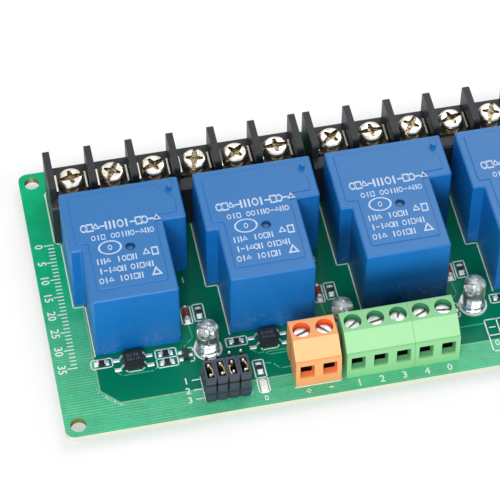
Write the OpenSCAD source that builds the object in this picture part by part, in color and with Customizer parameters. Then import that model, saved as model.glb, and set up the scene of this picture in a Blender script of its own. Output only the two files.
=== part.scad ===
// Four channel relay module board.
// Four sealed power relays stand on one green board. Two barrier terminal blocks run along
// the rear edge, and the small parts, the jumper field and the screw terminals stand in front.
// Millimetres. The origin is the centre of the four mounting holes on the board's underside,
// with +X along the board, +Y towards the barrier blocks and +Z up.

/* [Board] */
// Length of the board
board_l = 132; // [131:0.5:140]
// Width of the board, front to rear
board_w = 75; // [75:0.5:80]
// Thickness of the board
board_t = 1.6; // [1.4:0.1:2.0]
// Corner radius of the board
board_corner_r = 2; // [0.5:0.5:4]
// Diameter of the mounting holes
hole_d = 3.5; // [3.2:0.1:3.6]
// Distance of the mounting holes from the board's edges
hole_inset = 3; // [2.8:0.1:3.2]
// Depth of the pin tails below the board
tail_drop = 1.9; // [1.6:0.1:3]

/* [Relays] */
// Distance between neighbouring channels
channel_pitch = 30.25; // [30.2:0.05:30.4]
// Width of a relay across its rear shoulders
relay_w = 27; // [26.6:0.1:27.4]
// Depth of a relay
relay_d = 31.5; // [31:0.1:31.8]
// Height of a relay above the board
relay_h = 20; // [19:0.1:22]
// Position of the relays' rear faces
relay_rear = 14; // [13.8:0.1:14.4]
// Depth of the left shoulder
relay_left_d = 17; // [16:0.5:18]
// Depth of the right shoulder
relay_right_d = 12; // [11.5:0.5:14]
// Step in from the left shoulder to the stem
relay_left_step = 2.6; // [2.2:0.1:3]
// Step in from the right shoulder to the stem
relay_right_step = 5.2; // [5:0.1:5.6]
// Corner radius of the relay case
relay_corner_r = 0.5; // [0.3:0.1:1.2]
// Width of the chamfer round the top of the case
relay_chamfer = 0.3; // [0.2:0.1:0.8]
// Width of the border round the raised top panel
relay_border = 1.8; // [1.2:0.1:2.2]

/* [Barrier blocks] */
// Distance between neighbouring poles
barrier_pitch = 9.5; // [9.4:0.05:9.55]
// Thickness of the barrier fins
fin_t = 1.57; // [1.3:0.01:1.8]
// Height of the fins above the board
fin_h = 16.5; // [16:0.1:18]
// Depth of a block, front to rear
barrier_d = 14; // [13.8:0.1:14.4]
// Gap between the relays and the blocks
barrier_gap = 1.8; // [1.4:0.1:1.8]
// Height of the front ledge above the board
ledge_h = 12.4; // [12:0.1:13]
// Depth of the front ledge
ledge_d = 2.9; // [2.4:0.1:3]
// Height of the floor that the clamp plates lie on
floor_h = 10.4; // [10:0.1:10.8]
// Width of a clamp plate
plate_w = 7.2; // [7.1:0.1:7.4]
// Depth of a clamp plate
plate_d = 6.2; // [5.8:0.1:6.4]
// Diameter of the barrier screws' heads
barrier_head_d = 6; // [5.2:0.1:6.2]
// Diameter of the barrier screws' shanks
barrier_shank_d = 3.5; // [3:0.1:3.6]

/* [Screw terminals] */
// Distance between neighbouring terminal poles
terminal_pitch = 5.08; // [5:0.04:5.08]
// Depth of a screw terminal
terminal_d = 10; // [9.8:0.1:10.2]
// Height of a screw terminal above the board
terminal_h = 11; // [10.6:0.1:11.5]
// Depth of the flat top, back from its front edge
terminal_top_d = 5.5; // [5.3:0.1:5.8]
// Diameter of the screw wells
well_d = 3.9; // [3.8:0.1:4]
// Width of the wire entries
entry_w = 3.2; // [3:0.1:3.4]
// Height of the wire entries
entry_h = 4; // [3.6:0.1:4.2]

/* [Jumper field] */
// Distance between header pins
header_pitch = 2.54; // [2.54]
// Side of the square header pins
pin_side = 0.64; // [0.6:0.01:0.66]
// Height of the header insulator
insulator_h = 2.5; // [2.3:0.1:2.7]
// Height of the header pins' tips above the board
pin_tip_h = 8.6; // [8.5:0.1:9]
// Width of a jumper cap
cap_w = 2.46; // [2.3:0.02:2.5]
// Depth of a jumper cap
cap_d = 5.4; // [5:0.1:5.4]
// Height of a jumper cap
cap_h = 5.9; // [5.6:0.1:6]

/* [Small parts] */
// Diameter of the status lamps' lenses
lens_d = 5; // [4.8:0.1:5]
// Height of the status lamps above the board
lens_h = 9.6; // [8.6:0.1:10]
// Width of an optocoupler body
opto_w = 4.5; // [4.2:0.1:4.6]
// Depth of an optocoupler body
opto_d = 3.8; // [3.6:0.1:4]
// Height of an optocoupler above the board
opto_h = 2.3; // [2.1:0.1:2.5]
// Length of a chip resistor
chip_l = 2; // [1.8:0.1:2.2]
// Width of a chip resistor
chip_w = 1.25; // [1.1:0.05:1.3]

/* [Hidden] */
$fn = 40;

// How far a cutter runs past the face that it opens
cut = 0.5;
channels = [0:3];
poles = [0:5];

// Colours
board_green = [0.02, 0.50, 0.30];
relay_blue = [0.16, 0.42, 0.76];
barrier_black = [0.20, 0.20, 0.22];
supply_orange = [1.00, 0.62, 0.36];
input_green = [0.56, 0.88, 0.55];
plastic_black = [0.10, 0.10, 0.11];
nickel = [0.80, 0.79, 0.75];
tin = [0.76, 0.76, 0.74];
brass = [0.82, 0.66, 0.33];
clear_lens = [0.88, 0.91, 0.92, 0.5];
glass_red = [0.62, 0.12, 0.08];
lamp_white = [0.95, 0.93, 0.88];

// Places on the board
barrier_front = relay_rear + barrier_gap;
barrier_shift = -0.7;
terminal_rear = -24.15;
supply_x = -9.7;
input_x = 9.3;
header_x = -29.7;
header_rear = -28;
power_x = -21.65;
power_resistor_y = -27.7;
power_lamp_y = -32.4;
supply_poles = [for (k = [-0.5, 0.5]) supply_x + k * terminal_pitch];
input_a_poles = [for (k = [-2, -1, 0]) input_x + k * terminal_pitch];
input_b_poles = [for (k = [1, 2]) input_x + k * terminal_pitch];

// Offsets from each relay's centre line, and their depths on the board
lamp_at = [13.65, -20.2];
opto_at = [-3.1, -20.6];
opto_resistor_at = [-10.05, -19.5];
base_resistor_at = [4.2, -19.6];
pull_resistor_at = [4.2, -22];
transistor_at = [8.5, -21];
diode_at = [10.6, -10.3];
lamp_resistor_at = [13.5, -10.1];

// Pins: width, thickness, drilled hole
contact_blade = [2, 0.8, 2.5];
coil_blade = [1, 0.6, 1.5];
barrier_tail = [1.4, 1, 2];
terminal_tail = [1, 0.8, 1.4];
header_tail = [pin_side, pin_side, 1];
lamp_tail = [0.5, 0.5, 0.9];
pad_ring = 0.8;
solder_h = 1.2;
solder_play = 0.12;

// Relay details
relay_standoff = 0.4;
relay_foot_d = 1.6;
relay_feet = [[-12, -1.5], [12, -1.5], [-9.3, -30], [6.7, -30]];
relay_draft = 0.12;
panel_h = 0.25;
panel_front = 1.3;
blade_depth = 3;
contact_blade_at = [[-9.5, -4], [9.5, -4], [-1.3, -9]];
coil_blade_at = [[-7.3, -28], [4.7, -28]];
panel_corner = [7.55, 9.63];
vent_at = [11.4, -3.1];
vent_d = 1.8;
vent_h = 0.9;
dimple_at = [-0.15, -18];
dimple_d = 2.2;
dimple_depth = 0.6;

// Barrier block details
barrier_bevel = 0.45;
fin_corner_r = 0.8;
fin_root = 1;
strap_w = 6.4;
strap_t = 1;
strap_start = 3.6;
strap_end = 10.6;
leg_w = 4;
leg_foot = 1.2;
barrier_screw_v = 7.8;
plate_t = 0.8;
plate_rim_t = 0.4;
plate_rim_h = 0.5;
plate_rim_in = 0.7;
plate_r = 0.6;
plate_play = 0.1;
barrier_head_h = 2.1;
barrier_screw_l = 6.5;
barrier_head_r = 0.9;
barrier_screw_gap = 0.3;
recess_depth = 0.9;
recess_w = 1.6;
recess_end = 0.6;
recess_cross = 0.66;

// Screw terminal details, measured forward from the rear face and up from the board
well_v = 2.9;
screw_web_z = [7.8, 8.3];
terminal_head_d = 3.7;
terminal_head_h = 1.3;
terminal_shank_d = 2.5;
terminal_slot_w = 0.6;
cage_w = 3.9;
cage_v = [1.2, 4.8];
cage_z = [1.2, 7.3];
cage_wall = 0.7;
cage_play = 0.1;
strip_v = [0.5, 1.05];
strip_w = 2.3;
tongue_z = [5.6, 6.3];
entry_floor = 2.5;
entry_rise = 0.2;
entry_lip = 0.3;
chamber_w = 2.6;
chamber_floor = 1.2;
funnel_depth = 1.3;
front_step_z = 7.7;
front_step = 0.45;
front_lean = 0.5;
top_bevel = 0.3;
rib_w = [1.1, 1.7];
rib_depth = 0.5;
rib_v = 3.4;

// Header and jumper details
header_cols = 4;
header_rows = 3;
pin_point = 0.5;
cell_chamfer = 0.4;
cap_opening = [1.5, 4];
cap_collar_h = 1.2;
cap_waist = [0.2, 0.8];
cap_corner_r = 0.45;
clip_t = 0.18;
clip_h = 4.6;
cap_turns = [0, 0, 180, 0];

// Lamp details
flange_d = 5.8;
flange_h = 1;
lens_seat = 0.6;
lead_half = 1.27;
post_w = 0.5;
post_top = 1.6;
post_shift = 0.35;
post_flags = [1.9, 1.5];
cup_drop = 4.6;
cup_shift = 0.55;
cup_h = 1.2;
cup_d = [1.5, 2.3];
cup_wall = 0.2;

// Chip and small package details
chip_h = 0.55;
chip_end = 0.38;
chip_end_t = 0.08;
lead_t = 0.22;
wing_root = 0.35;
wing_sole = 0.25;
wing_sink = 0.5;
package_r = 0.15;
opto_lead_w = 0.5;
opto_span = 8;
opto_seat = 0.15;
opto_taper = 0.16;
opto_mark = [0.6, 0.12];
opto_mark_in = 0.75;
sot_body = [1.3, 2.9, 1];
sot_span = 2.5;
sot_pitch = 1.9;
sot_lead = [0.4, 0.45];
sot_seat = 0.08;
sot_taper = 0.1;
diode_d = 1.45;
diode_l = 3.6;
diode_cap_l = 0.6;
power_lamp_size = [1.6, 2.6, 0.9];

// ---- shared helpers ----

function channel_x(i) = (i - 1.5) * channel_pitch;
function on_channel(i, at) = [channel_x(i) + at[0], at[1], board_t];
function block_x(b) = barrier_shift + (b - 0.5) * 2 * channel_pitch;
function pole_x(p) = (p - 2.5) * barrier_pitch;
function header_pin_x(c) = header_x + (c - (header_cols - 1) / 2) * header_pitch;
function header_pin_y(r) = header_rear - r * header_pitch;

// Points of one rounded corner at p, between its neighbours a and b
function corner(a, p, b, r, n) =
    let (u = (a - p) / norm(a - p), w = (b - p) / norm(b - p),
         half = acos(u * w) / 2, reach = r / tan(half),
         bisector = (u + w) / norm(u + w), centre = p + bisector * (r / sin(half)),
         from = p + u * reach - centre, to = p + w * reach - centre)
    [for (k = [0:n]) let (m = from * (n - k) / n + to * k / n) centre + m / norm(m) * r];

// An outline whose corners all have the radius r
function rounded(pts, r, n = 4) =
    let (c = len(pts))
    [for (i = [0:c - 1]) each corner(pts[(i + c - 1) % c], pts[i], pts[(i + 1) % c], r, n)];

function rectangle(w, d) = [[-w / 2, -d / 2], [w / 2, -d / 2], [w / 2, d / 2], [-w / 2, d / 2]];

// A solid through a stack of outlines, each one [height, points], with equal point counts
module loft(rings) {
    n = len(rings[0][1]);
    last = len(rings) - 1;
    points = [for (ring = rings) each [for (p = ring[1]) [p[0], p[1], ring[0]]]];
    sides = [for (k = [0:last - 1], i = [0:n - 1])
        [k * n + i, (k + 1) * n + i, (k + 1) * n + (i + 1) % n, k * n + (i + 1) % n]];
    polyhedron(points, concat(
        [[for (i = [0:n - 1]) i]],
        [[for (i = [0:n - 1]) last * n + n - 1 - i]],
        sides), convexity = 4);
}

// A block centred across x and y that stands on z = 0
module slab(size) {
    translate([-size[0] / 2, -size[1] / 2, 0]) cube(size);
}

// A profile in the y-z plane, pulled to both sides along x
module pull_x(width) {
    rotate([90, 0, 90]) linear_extrude(width, center = true) children();
}

// ---- pins through the board ----

// One drilled hole for a tail
module tail_hole(tail) {
    translate([0, 0, -cut]) cylinder(h = board_t + 2 * cut, d = tail[2]);
}

// One tail from the height top, above the board, down to the tail level
module tail_pin(tail, top) {
    translate([0, 0, -tail_drop]) slab([tail[0], tail[1], tail_drop + board_t + top]);
}

// The solder that fills a hole and stands round the tail below the board
module solder_joint(tail) {
    hole_r = tail[2] / 2;
    neck_r = norm([tail[0], tail[1]]) / 2 + solder_play;
    pad_r = hole_r + pad_ring / 2;
    difference() {
        rotate_extrude() polygon([
            [0, board_t], [hole_r, board_t], [hole_r, 0], [pad_r, 0],
            [pad_r * 0.8 + neck_r * 0.2, -solder_h * 0.15],
            [pad_r * 0.35 + neck_r * 0.65, -solder_h * 0.5],
            [neck_r, -solder_h], [0, -solder_h]]);
        translate([0, 0, -tail_drop]) slab([tail[0], tail[1], tail_drop + board_t + cut]);
    }
}

// Where each kind of tail stands on the board
relay_tails = [
    for (i = channels) each concat(
        [for (at = contact_blade_at) [channel_x(i) + at[0], relay_rear + at[1], contact_blade]],
        [for (at = coil_blade_at) [channel_x(i) + at[0], relay_rear + at[1], coil_blade]])];
barrier_tails = [
    for (b = [0:1], p = poles)
        [block_x(b) + pole_x(p), barrier_front + strap_start + strap_t / 2, barrier_tail]];
terminal_tails = [
    for (x = concat(supply_poles, input_a_poles, input_b_poles))
        [x, terminal_rear - well_v, terminal_tail]];
header_tails = [
    for (c = [0:header_cols - 1], r = [0:header_rows - 1])
        [header_pin_x(c), header_pin_y(r), header_tail]];
lamp_tails = [
    for (i = channels, side = [-1, 1])
        [channel_x(i) + lamp_at[0] + side * lead_half, lamp_at[1], lamp_tail]];
power_tails = concat(relay_tails, barrier_tails);
signal_tails = concat(terminal_tails, header_tails, lamp_tails);

// ---- board ----

module pcb() {
    color(board_green) difference() {
        linear_extrude(board_t) polygon(rounded(rectangle(board_l, board_w), board_corner_r, 6));
        for (sx = [-1, 1], sy = [-1, 1])
            translate([sx * (board_l / 2 - hole_inset), sy * (board_w / 2 - hole_inset), -cut])
                cylinder(h = board_t + 2 * cut, d = hole_d);
        for (t = concat(power_tails, signal_tails))
            translate([t[0], t[1], 0]) tail_hole(t[2]);
    }
}

module solder(tails) {
    color(tin) for (t = tails) translate([t[0], t[1], 0]) solder_joint(t[2]);
}

// ---- relays ----

// Plan of the relay case, drawn in by the inset, with its rear face at y = 0
function relay_plan(inset, front = 0) =
    let (l = -relay_w / 2, r = relay_w / 2,
         stem_l = l + relay_left_step + inset, stem_r = r - relay_right_step - inset)
    rounded([
        [stem_l, -relay_d + inset + front], [stem_r, -relay_d + inset + front],
        [stem_r, -relay_right_d + inset], [r - inset, -relay_right_d + inset],
        [r - inset, -inset], [l + inset, -inset],
        [l + inset, -relay_left_d + inset], [stem_l, -relay_left_d + inset]],
        relay_corner_r);

// The moulded outline runs past its ends, and the envelope keeps the body, its feet and the vent
module relay_case(i) {
    top = relay_h - panel_h;
    edge = relay_border + panel_h / 2;
    color(relay_blue) translate([channel_x(i), relay_rear, board_t]) difference() {
        intersection() {
            loft([
                [-cut, relay_plan(0)],
                [top - relay_chamfer, relay_plan(relay_draft)],
                [top, relay_plan(relay_draft + relay_chamfer)],
                [top, relay_plan(relay_border, panel_front)],
                [relay_h - panel_h / 2, relay_plan(relay_border, panel_front)],
                [relay_h, relay_plan(edge, panel_front)],
                [relay_h + vent_h + cut, relay_plan(edge, panel_front)]]);
            relay_envelope();
        }
        translate([dimple_at[0], dimple_at[1], relay_h - dimple_depth])
            cylinder(h = dimple_depth + cut, d = dimple_d);
        panel_corner_cut(top);
        translate([-channel_x(i), -relay_rear, -board_t]) relay_blades(i);
    }
}

// The rear right corner of the raised panel, taken off down to the border round the vent
module panel_corner_cut(z) {
    difference() {
        translate([relay_w / 2, 0, z]) linear_extrude(vent_h + panel_h + cut) polygon([
            [-panel_corner[0], cut], [cut, cut], [cut, -panel_corner[1]]]);
        relay_vent(z - cut);
    }
}

// The vent nib, from the height z up
module relay_vent(z) {
    translate([vent_at[0], vent_at[1], z]) cylinder(h = relay_h + vent_h - z, d = vent_d);
}

module relay_envelope() {
    translate([0, -relay_d / 2, relay_standoff])
        slab([relay_w + 2 * cut, relay_d + 2 * cut, relay_h - relay_standoff]);
    for (foot = relay_feet) translate(foot) cylinder(h = relay_standoff + cut, d = relay_foot_d);
    relay_vent(relay_h - cut);
}

// The five blades of one relay
module relay_blades(i) {
    for (k = [0:4]) {
        t = relay_tails[i * 5 + k];
        translate([t[0], t[1], 0]) tail_pin(t[2], blade_depth);
    }
}

module relay_pins() {
    color(tin) for (i = channels) relay_blades(i);
}

// ---- barrier blocks ----

// One contact strap with its leg, at a pole, measured from the block's front face
module barrier_strap() {
    translate([0, strap_start, 0]) {
        translate([-strap_w / 2, 0, floor_h - strap_t])
            cube([strap_w, strap_end - strap_start, strap_t]);
        translate([-leg_w / 2, 0, leg_foot]) cube([leg_w, strap_t, floor_h - leg_foot]);
        translate([-barrier_tail[0] / 2, 0, -board_t - tail_drop])
            cube([barrier_tail[0], strap_t, board_t + tail_drop + leg_foot]);
    }
}

module at_block(b) {
    translate([block_x(b), barrier_front, board_t]) children();
}

module barrier_housing(b) {
    length = 6 * barrier_pitch + fin_t;
    color(barrier_black) at_block(b) difference() {
        union() {
            pull_x(length) polygon([
                [0, 0], [barrier_d, 0], [barrier_d, floor_h - barrier_bevel],
                [barrier_d - barrier_bevel, floor_h], [ledge_d, floor_h], [ledge_d, ledge_h],
                [barrier_bevel, ledge_h], [0, ledge_h - barrier_bevel]]);
            for (k = [0:6]) translate([(k - 3) * barrier_pitch, 0, 0]) pull_x(fin_t)
                polygon(concat(
                    [[barrier_bevel, ledge_h - fin_root], [barrier_d - fin_root, floor_h - fin_root],
                        [barrier_d, floor_h - barrier_bevel]],
                    corner([barrier_d, 0], [barrier_d, fin_h], [0, fin_h], fin_corner_r, 4),
                    corner([barrier_d, fin_h], [ledge_d, fin_h], [ledge_d, 0], fin_corner_r, 4),
                    [[ledge_d, ledge_h], [barrier_bevel, ledge_h]]));
        }
        for (p = poles) translate([pole_x(p), 0, 0]) {
            barrier_strap();
            translate([0, barrier_screw_v, floor_h - barrier_screw_l])
                cylinder(h = barrier_screw_l, d = barrier_shank_d + 2 * barrier_screw_gap);
        }
    }
}

module barrier_contacts(b) {
    color(brass) at_block(b) for (p = poles) translate([pole_x(p), 0, 0]) difference() {
        barrier_strap();
        translate([0, barrier_screw_v, floor_h - strap_t - cut])
            cylinder(h = strap_t + 2 * cut, d = barrier_shank_d);
    }
}

// Square clamp plates with their side edges turned up round the screw heads
module barrier_plates(b) {
    color(nickel) at_block(b) for (p = poles)
        translate([pole_x(p), barrier_screw_v + plate_play, floor_h]) difference() {
            union() {
                linear_extrude(plate_t) polygon(rounded(rectangle(plate_w, plate_d), plate_r));
                for (side = [-1, 1])
                    translate([side * (plate_w - plate_rim_t) / 2, 0, 0])
                        slab([plate_rim_t, plate_d - 2 * plate_rim_in, plate_t + plate_rim_h]);
            }
            translate([0, -plate_play, -cut])
                cylinder(h = plate_t + 2 * cut, d = barrier_shank_d);
        }
}

// Turn of each barrier screw's recess
function barrier_turn(b, p) = (p * 53 + b * 31 + 8) % 90;

// One arm of a recess, wide in the middle and narrow at both ends
module recess_arm(length) {
    linear_extrude(recess_depth + cut) polygon([
        [-length / 2, -recess_end / 2], [0, -recess_w / 2], [length / 2, -recess_end / 2],
        [length / 2, recess_end / 2], [0, recess_w / 2], [-length / 2, recess_end / 2]]);
}

module barrier_screws(b) {
    head_z = floor_h + plate_t;
    color(nickel) at_block(b) for (p = poles)
        translate([pole_x(p), barrier_screw_v, 0]) difference() {
            union() {
                translate([0, 0, head_z]) rotate_extrude() polygon(concat(
                    [[0, 0], [barrier_head_d / 2, 0]],
                    corner([barrier_head_d / 2, 0], [barrier_head_d / 2, barrier_head_h],
                        [0, barrier_head_h], barrier_head_r, 4),
                    [[0, barrier_head_h]]));
                translate([0, 0, floor_h - barrier_screw_l + barrier_screw_gap])
                    cylinder(h = barrier_screw_l + plate_t, d = barrier_shank_d);
            }
            translate([0, 0, head_z + barrier_head_h - recess_depth])
                rotate(barrier_turn(b, p)) {
                    recess_arm(barrier_head_d + cut);
                    rotate(90) recess_arm(barrier_head_d * recess_cross);
                }
        }
}

// ---- screw terminals ----

module at_terminals() {
    translate([0, terminal_rear, board_t]) children();
}

// Side profile of a terminal, with its rear face at y = 0 and its front towards -y
module terminal_profile() {
    polygon([
        [0, 0], [0, terminal_h - top_bevel], [-top_bevel, terminal_h],
        [-terminal_top_d, terminal_h],
        [-terminal_d + front_lean + front_step, front_step_z + top_bevel / 2],
        [-terminal_d + front_lean + front_step, front_step_z],
        [-terminal_d + front_lean, front_step_z], [-terminal_d, 0]]);
}

// Plan of a dovetail rib: narrow at the wall, wide at its free face
module rib_plan(play) {
    polygon([
        [0, -rib_w[0] / 2 - play], [rib_depth, -rib_w[1] / 2 - play],
        [rib_depth, rib_w[1] / 2 + play], [0, rib_w[0] / 2 + play]]);
}

// The funnel that leads a wire over a short lip into the chamber
module wire_funnel() {
    face = -terminal_d - cut;
    lip = -terminal_d + entry_lip;
    throat = -terminal_d + front_lean + funnel_depth;
    low = entry_floor;
    intersection() {
        pull_x(entry_w + 2 * cut) polygon([
            [face, low], [lip, low], [throat, low + entry_rise],
            [throat + cut, low + entry_rise], [throat + cut, low + entry_h],
            [face, low + entry_h]]);
        translate([0, 0, low - cut]) linear_extrude(entry_h + 2 * cut) polygon([
            [-entry_w / 2, face], [entry_w / 2, face], [entry_w / 2, lip],
            [chamber_w / 2, throat], [chamber_w / 2, throat + cut],
            [-chamber_w / 2, throat + cut], [-chamber_w / 2, throat], [-entry_w / 2, lip]]);
    }
}

// All that is open inside the housing at one pole
module terminal_hollow() {
    translate([0, -well_v, screw_web_z[1]]) cylinder(h = terminal_h, d = well_d);
    translate([0, -well_v, screw_web_z[0] - cut]) cylinder(h = 2, d = terminal_shank_d + 0.3);
    translate([-cage_w / 2 - cage_play, -cage_v[1] - cage_play, cage_z[0] - cage_play])
        cube([cage_w + 2 * cage_play, cage_v[1] - strip_v[1] + cage_play,
            screw_web_z[0] - cage_z[0] + cage_play]);
    translate([-chamber_w / 2, -terminal_d + front_lean + funnel_depth, chamber_floor])
        cube([chamber_w, terminal_d - front_lean - funnel_depth - cage_v[0],
            entry_floor + entry_h - chamber_floor]);
    wire_funnel();
    terminal_strip();
}

// The contact: a strip up the rear wall, a tongue through the cage and a foot to the tail
module terminal_strip() {
    translate([-strip_w / 2, -strip_v[1], 0])
        cube([strip_w, strip_v[1] - strip_v[0], tongue_z[1]]);
    translate([-strip_w / 2, -cage_v[1] + 0.3, tongue_z[0]])
        cube([strip_w, cage_v[1] - 0.3 - strip_v[0], tongue_z[1] - tongue_z[0]]);
    translate([-terminal_tail[0] / 2, -well_v - terminal_tail[1] / 2, 0])
        cube([terminal_tail[0], well_v + terminal_tail[1] / 2 - strip_v[0], 0.6]);
}

module terminal_housing(xs, tone, left_groove, right_rib) {
    n = len(xs);
    width = n * terminal_pitch;
    middle = (xs[0] + xs[n - 1]) / 2;
    color(tone) at_terminals() difference() {
        union() {
            translate([middle, 0, 0]) pull_x(width) terminal_profile();
            if (right_rib)
                translate([middle + width / 2, -rib_v, 0])
                    linear_extrude(front_step_z) rib_plan(0);
        }
        for (x = xs) translate([x, 0, 0]) terminal_hollow();
        if (left_groove)
            translate([middle - width / 2, -rib_v, -cut])
                linear_extrude(front_step_z + cut) rib_plan(0);
    }
}

// Open wire cages that the screws lift against the tongues
module terminal_cages(xs) {
    depth = cage_v[1] - cage_v[0];
    height = cage_z[1] - cage_z[0];
    color(nickel) at_terminals() for (x = xs)
        translate([x, -(cage_v[0] + cage_v[1]) / 2, cage_z[0]]) difference() {
            slab([cage_w, depth, height]);
            translate([0, 0, cage_wall])
                slab([cage_w - 2 * cage_wall, depth + 1, height - 2 * cage_wall]);
            translate([0, (cage_v[0] + cage_v[1]) / 2 - well_v, height - cage_wall - cut])
                cylinder(h = cage_wall + 2 * cut, d = terminal_shank_d);
        }
}

// Slotted screws, each turned its own way
module terminal_screws(xs, turns) {
    color(nickel) at_terminals() for (k = [0:len(xs) - 1])
        translate([xs[k], -well_v, 0]) difference() {
            union() {
                translate([0, 0, screw_web_z[1]]) rotate_extrude() polygon([
                    [0, 0], [terminal_head_d / 2, 0],
                    [terminal_head_d / 2, terminal_head_h - 0.25],
                    [terminal_head_d / 2 - 0.25, terminal_head_h], [0, terminal_head_h]]);
                translate([0, 0, tongue_z[1]])
                    cylinder(h = screw_web_z[1] - tongue_z[1], d = terminal_shank_d);
            }
            translate([0, 0, screw_web_z[1] + terminal_head_h * 0.4]) rotate(turns[k])
                slab([terminal_head_d + cut, terminal_slot_w, terminal_head_h]);
        }
}

module terminal_pins(xs) {
    color(tin) for (x = xs) {
        at_terminals() translate([x, 0, 0]) terminal_strip();
        translate([x, terminal_rear - well_v, 0]) tail_pin(terminal_tail, 0);
    }
}

// ---- jumper field ----

module header_insulator() {
    side = header_pitch;
    color(plastic_black) difference() {
        for (c = [0:header_cols - 1])
            translate([header_pin_x(c), header_pin_y(0) + side / 2, board_t])
                linear_extrude(insulator_h) polygon([
                    for (r = [0:header_rows - 1], p = [
                        [side / 2 - cell_chamfer, -r * side], [side / 2, -r * side - cell_chamfer],
                        [side / 2, -(r + 1) * side + cell_chamfer],
                        [side / 2 - cell_chamfer, -(r + 1) * side]]) p,
                    for (r = [header_rows - 1:-1:0], p = [
                        [-side / 2 + cell_chamfer, -(r + 1) * side],
                        [-side / 2, -(r + 1) * side + cell_chamfer],
                        [-side / 2, -r * side - cell_chamfer],
                        [-side / 2 + cell_chamfer, -r * side]]) p]);
        header_pins_plain();
    }
}

module header_pins_plain() {
    for (t = header_tails) translate([t[0], t[1], 0]) tail_pin(t[2], insulator_h + cut);
}

// One square pin whose upper end closes to a blunt point
module header_pin() {
    half = pin_side / 2;
    top = board_t + pin_tip_h;
    outline = [
        [-half, -tail_drop], [half, -tail_drop], [half, top - pin_point],
        [half / 2, top], [-half / 2, top], [-half, top - pin_point]];
    intersection() {
        rotate([90, 0, 0]) linear_extrude(pin_side, center = true) polygon(outline);
        rotate([90, 0, 90]) linear_extrude(pin_side, center = true) polygon(outline);
    }
}

module header_pins() {
    color(nickel) for (t = header_tails) translate([t[0], t[1], 0]) header_pin();
}

module at_jumper(k) {
    translate([header_pin_x(k), header_pin_y(1.5), board_t + insulator_h])
        rotate(cap_turns[k]) children();
}

// A cap is open from top to bottom, with a collar round its upper end
module jumper_cap(k) {
    color(plastic_black) at_jumper(k) difference() {
        union() {
            linear_extrude(cap_h - cap_collar_h) polygon(rounded(
                rectangle(cap_w - cap_waist[0], cap_d - cap_waist[1]), cap_corner_r - cap_waist[0]));
            translate([0, 0, cap_h - cap_collar_h]) linear_extrude(cap_collar_h)
                polygon(rounded(rectangle(cap_w, cap_d), cap_corner_r));
        }
        translate([0, 0, -cut]) slab([cap_opening[0], cap_opening[1], cap_h + 2 * cut]);
    }
}

// Spring strips that bridge two pins inside each cap
module jumper_clips() {
    half = pin_side / 2;
    wall = cap_opening[0] / 2;
    end = cap_opening[1] / 2;
    lead = header_pitch / 2 - half;
    color(brass) for (k = [0:3]) at_jumper(k)
        translate([0, 0, 0.6]) linear_extrude(clip_h) polygon([
            [half, end - 0.1], [half, lead + 0.1], [wall - clip_t, lead - 0.3],
            [wall - clip_t, -lead + 0.35], [-half + 0.1, -lead + clip_t], [-half + 0.1, -lead],
            [half + 0.15, -lead], [wall, -lead + 0.15], [wall, lead - 0.25],
            [half + clip_t, lead + 0.15], [half + clip_t, end - 0.1]]);
}

// ---- status lamps ----

// The two posts of a lamp, one with the reflector cup, and their leads
module lamp_frame() {
    cup_z = lens_h - cup_drop;
    for (side = [-1, 1]) translate([side * lead_half, 0, 0]) {
        translate([0, 0, -board_t - tail_drop])
            slab([lamp_tail[0], lamp_tail[1], board_t + tail_drop + cup_z - post_top / 2]);
        translate([-side * post_shift, 0, cup_z - post_top])
            slab([post_flags[side < 0 ? 0 : 1], post_w, post_top]);
    }
    translate([-lead_half + cup_shift, 0, cup_z]) difference() {
        cylinder(h = cup_h, d1 = cup_d[0], d2 = cup_d[1]);
        translate([0, 0, 2 * cup_wall])
            cylinder(h = cup_h, d1 = cup_d[0] - 2 * cup_wall, d2 = cup_d[1]);
    }
}

module lamp_lens(i) {
    dome_z = lens_h - lens_d / 2;
    color(clear_lens) translate(on_channel(i, lamp_at)) difference() {
        union() {
            translate([0, 0, lens_seat]) cylinder(h = dome_z - lens_seat, d = lens_d);
            translate([0, 0, dome_z]) sphere(d = lens_d);
            translate([0, 0, lens_seat]) difference() {
                cylinder(h = flange_h, d = flange_d);
                translate([lens_d / 2, -flange_d, -cut]) cube([2, 2 * flange_d, 2]);
            }
        }
        lamp_frame();
    }
}

module lamp_leads(i) {
    color(tin) translate(on_channel(i, lamp_at)) lamp_frame();
}

// ---- optocouplers ----

// A gull wing lead, from inside a body at the height exit out to the board
module gull_wing(start, tip, exit, width) {
    knee = (start + tip) / 2;
    rotate([90, 0, 0]) linear_extrude(width, center = true) polygon([
        [start, exit], [start, exit + lead_t], [knee - wing_root, exit + lead_t],
        [knee + wing_sole, lead_t], [tip, lead_t], [tip, 0],
        [knee + wing_sole - lead_t, 0], [knee - wing_root - lead_t / 2, exit]]);
}

module opto_wings() {
    for (side = [0, 180], y = [-1, 1])
        rotate(side) translate([0, y * header_pitch / 2, 0])
            gull_wing(opto_w / 2 - wing_sink, opto_span / 2, opto_h / 2, opto_lead_w);
}

function opto_plan(inset) = rounded(rectangle(opto_w - inset, opto_d - inset), package_r, 2);

module opto_body(i) {
    belt = opto_h / 2 + lead_t / 2;
    color(plastic_black) translate(on_channel(i, opto_at)) difference() {
        loft([
            [opto_seat, opto_plan(opto_taper)], [belt, opto_plan(0)],
            [opto_h, opto_plan(2 * opto_taper)]]);
        opto_wings();
        translate([-opto_w / 2 + opto_mark_in, opto_d / 2 - opto_mark_in, opto_h - opto_mark[1]])
            cylinder(h = opto_mark[1] + cut, d = opto_mark[0]);
    }
}

module opto_leads(i) {
    color(tin) translate(on_channel(i, opto_at)) opto_wings();
}

// ---- transistors ----

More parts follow.
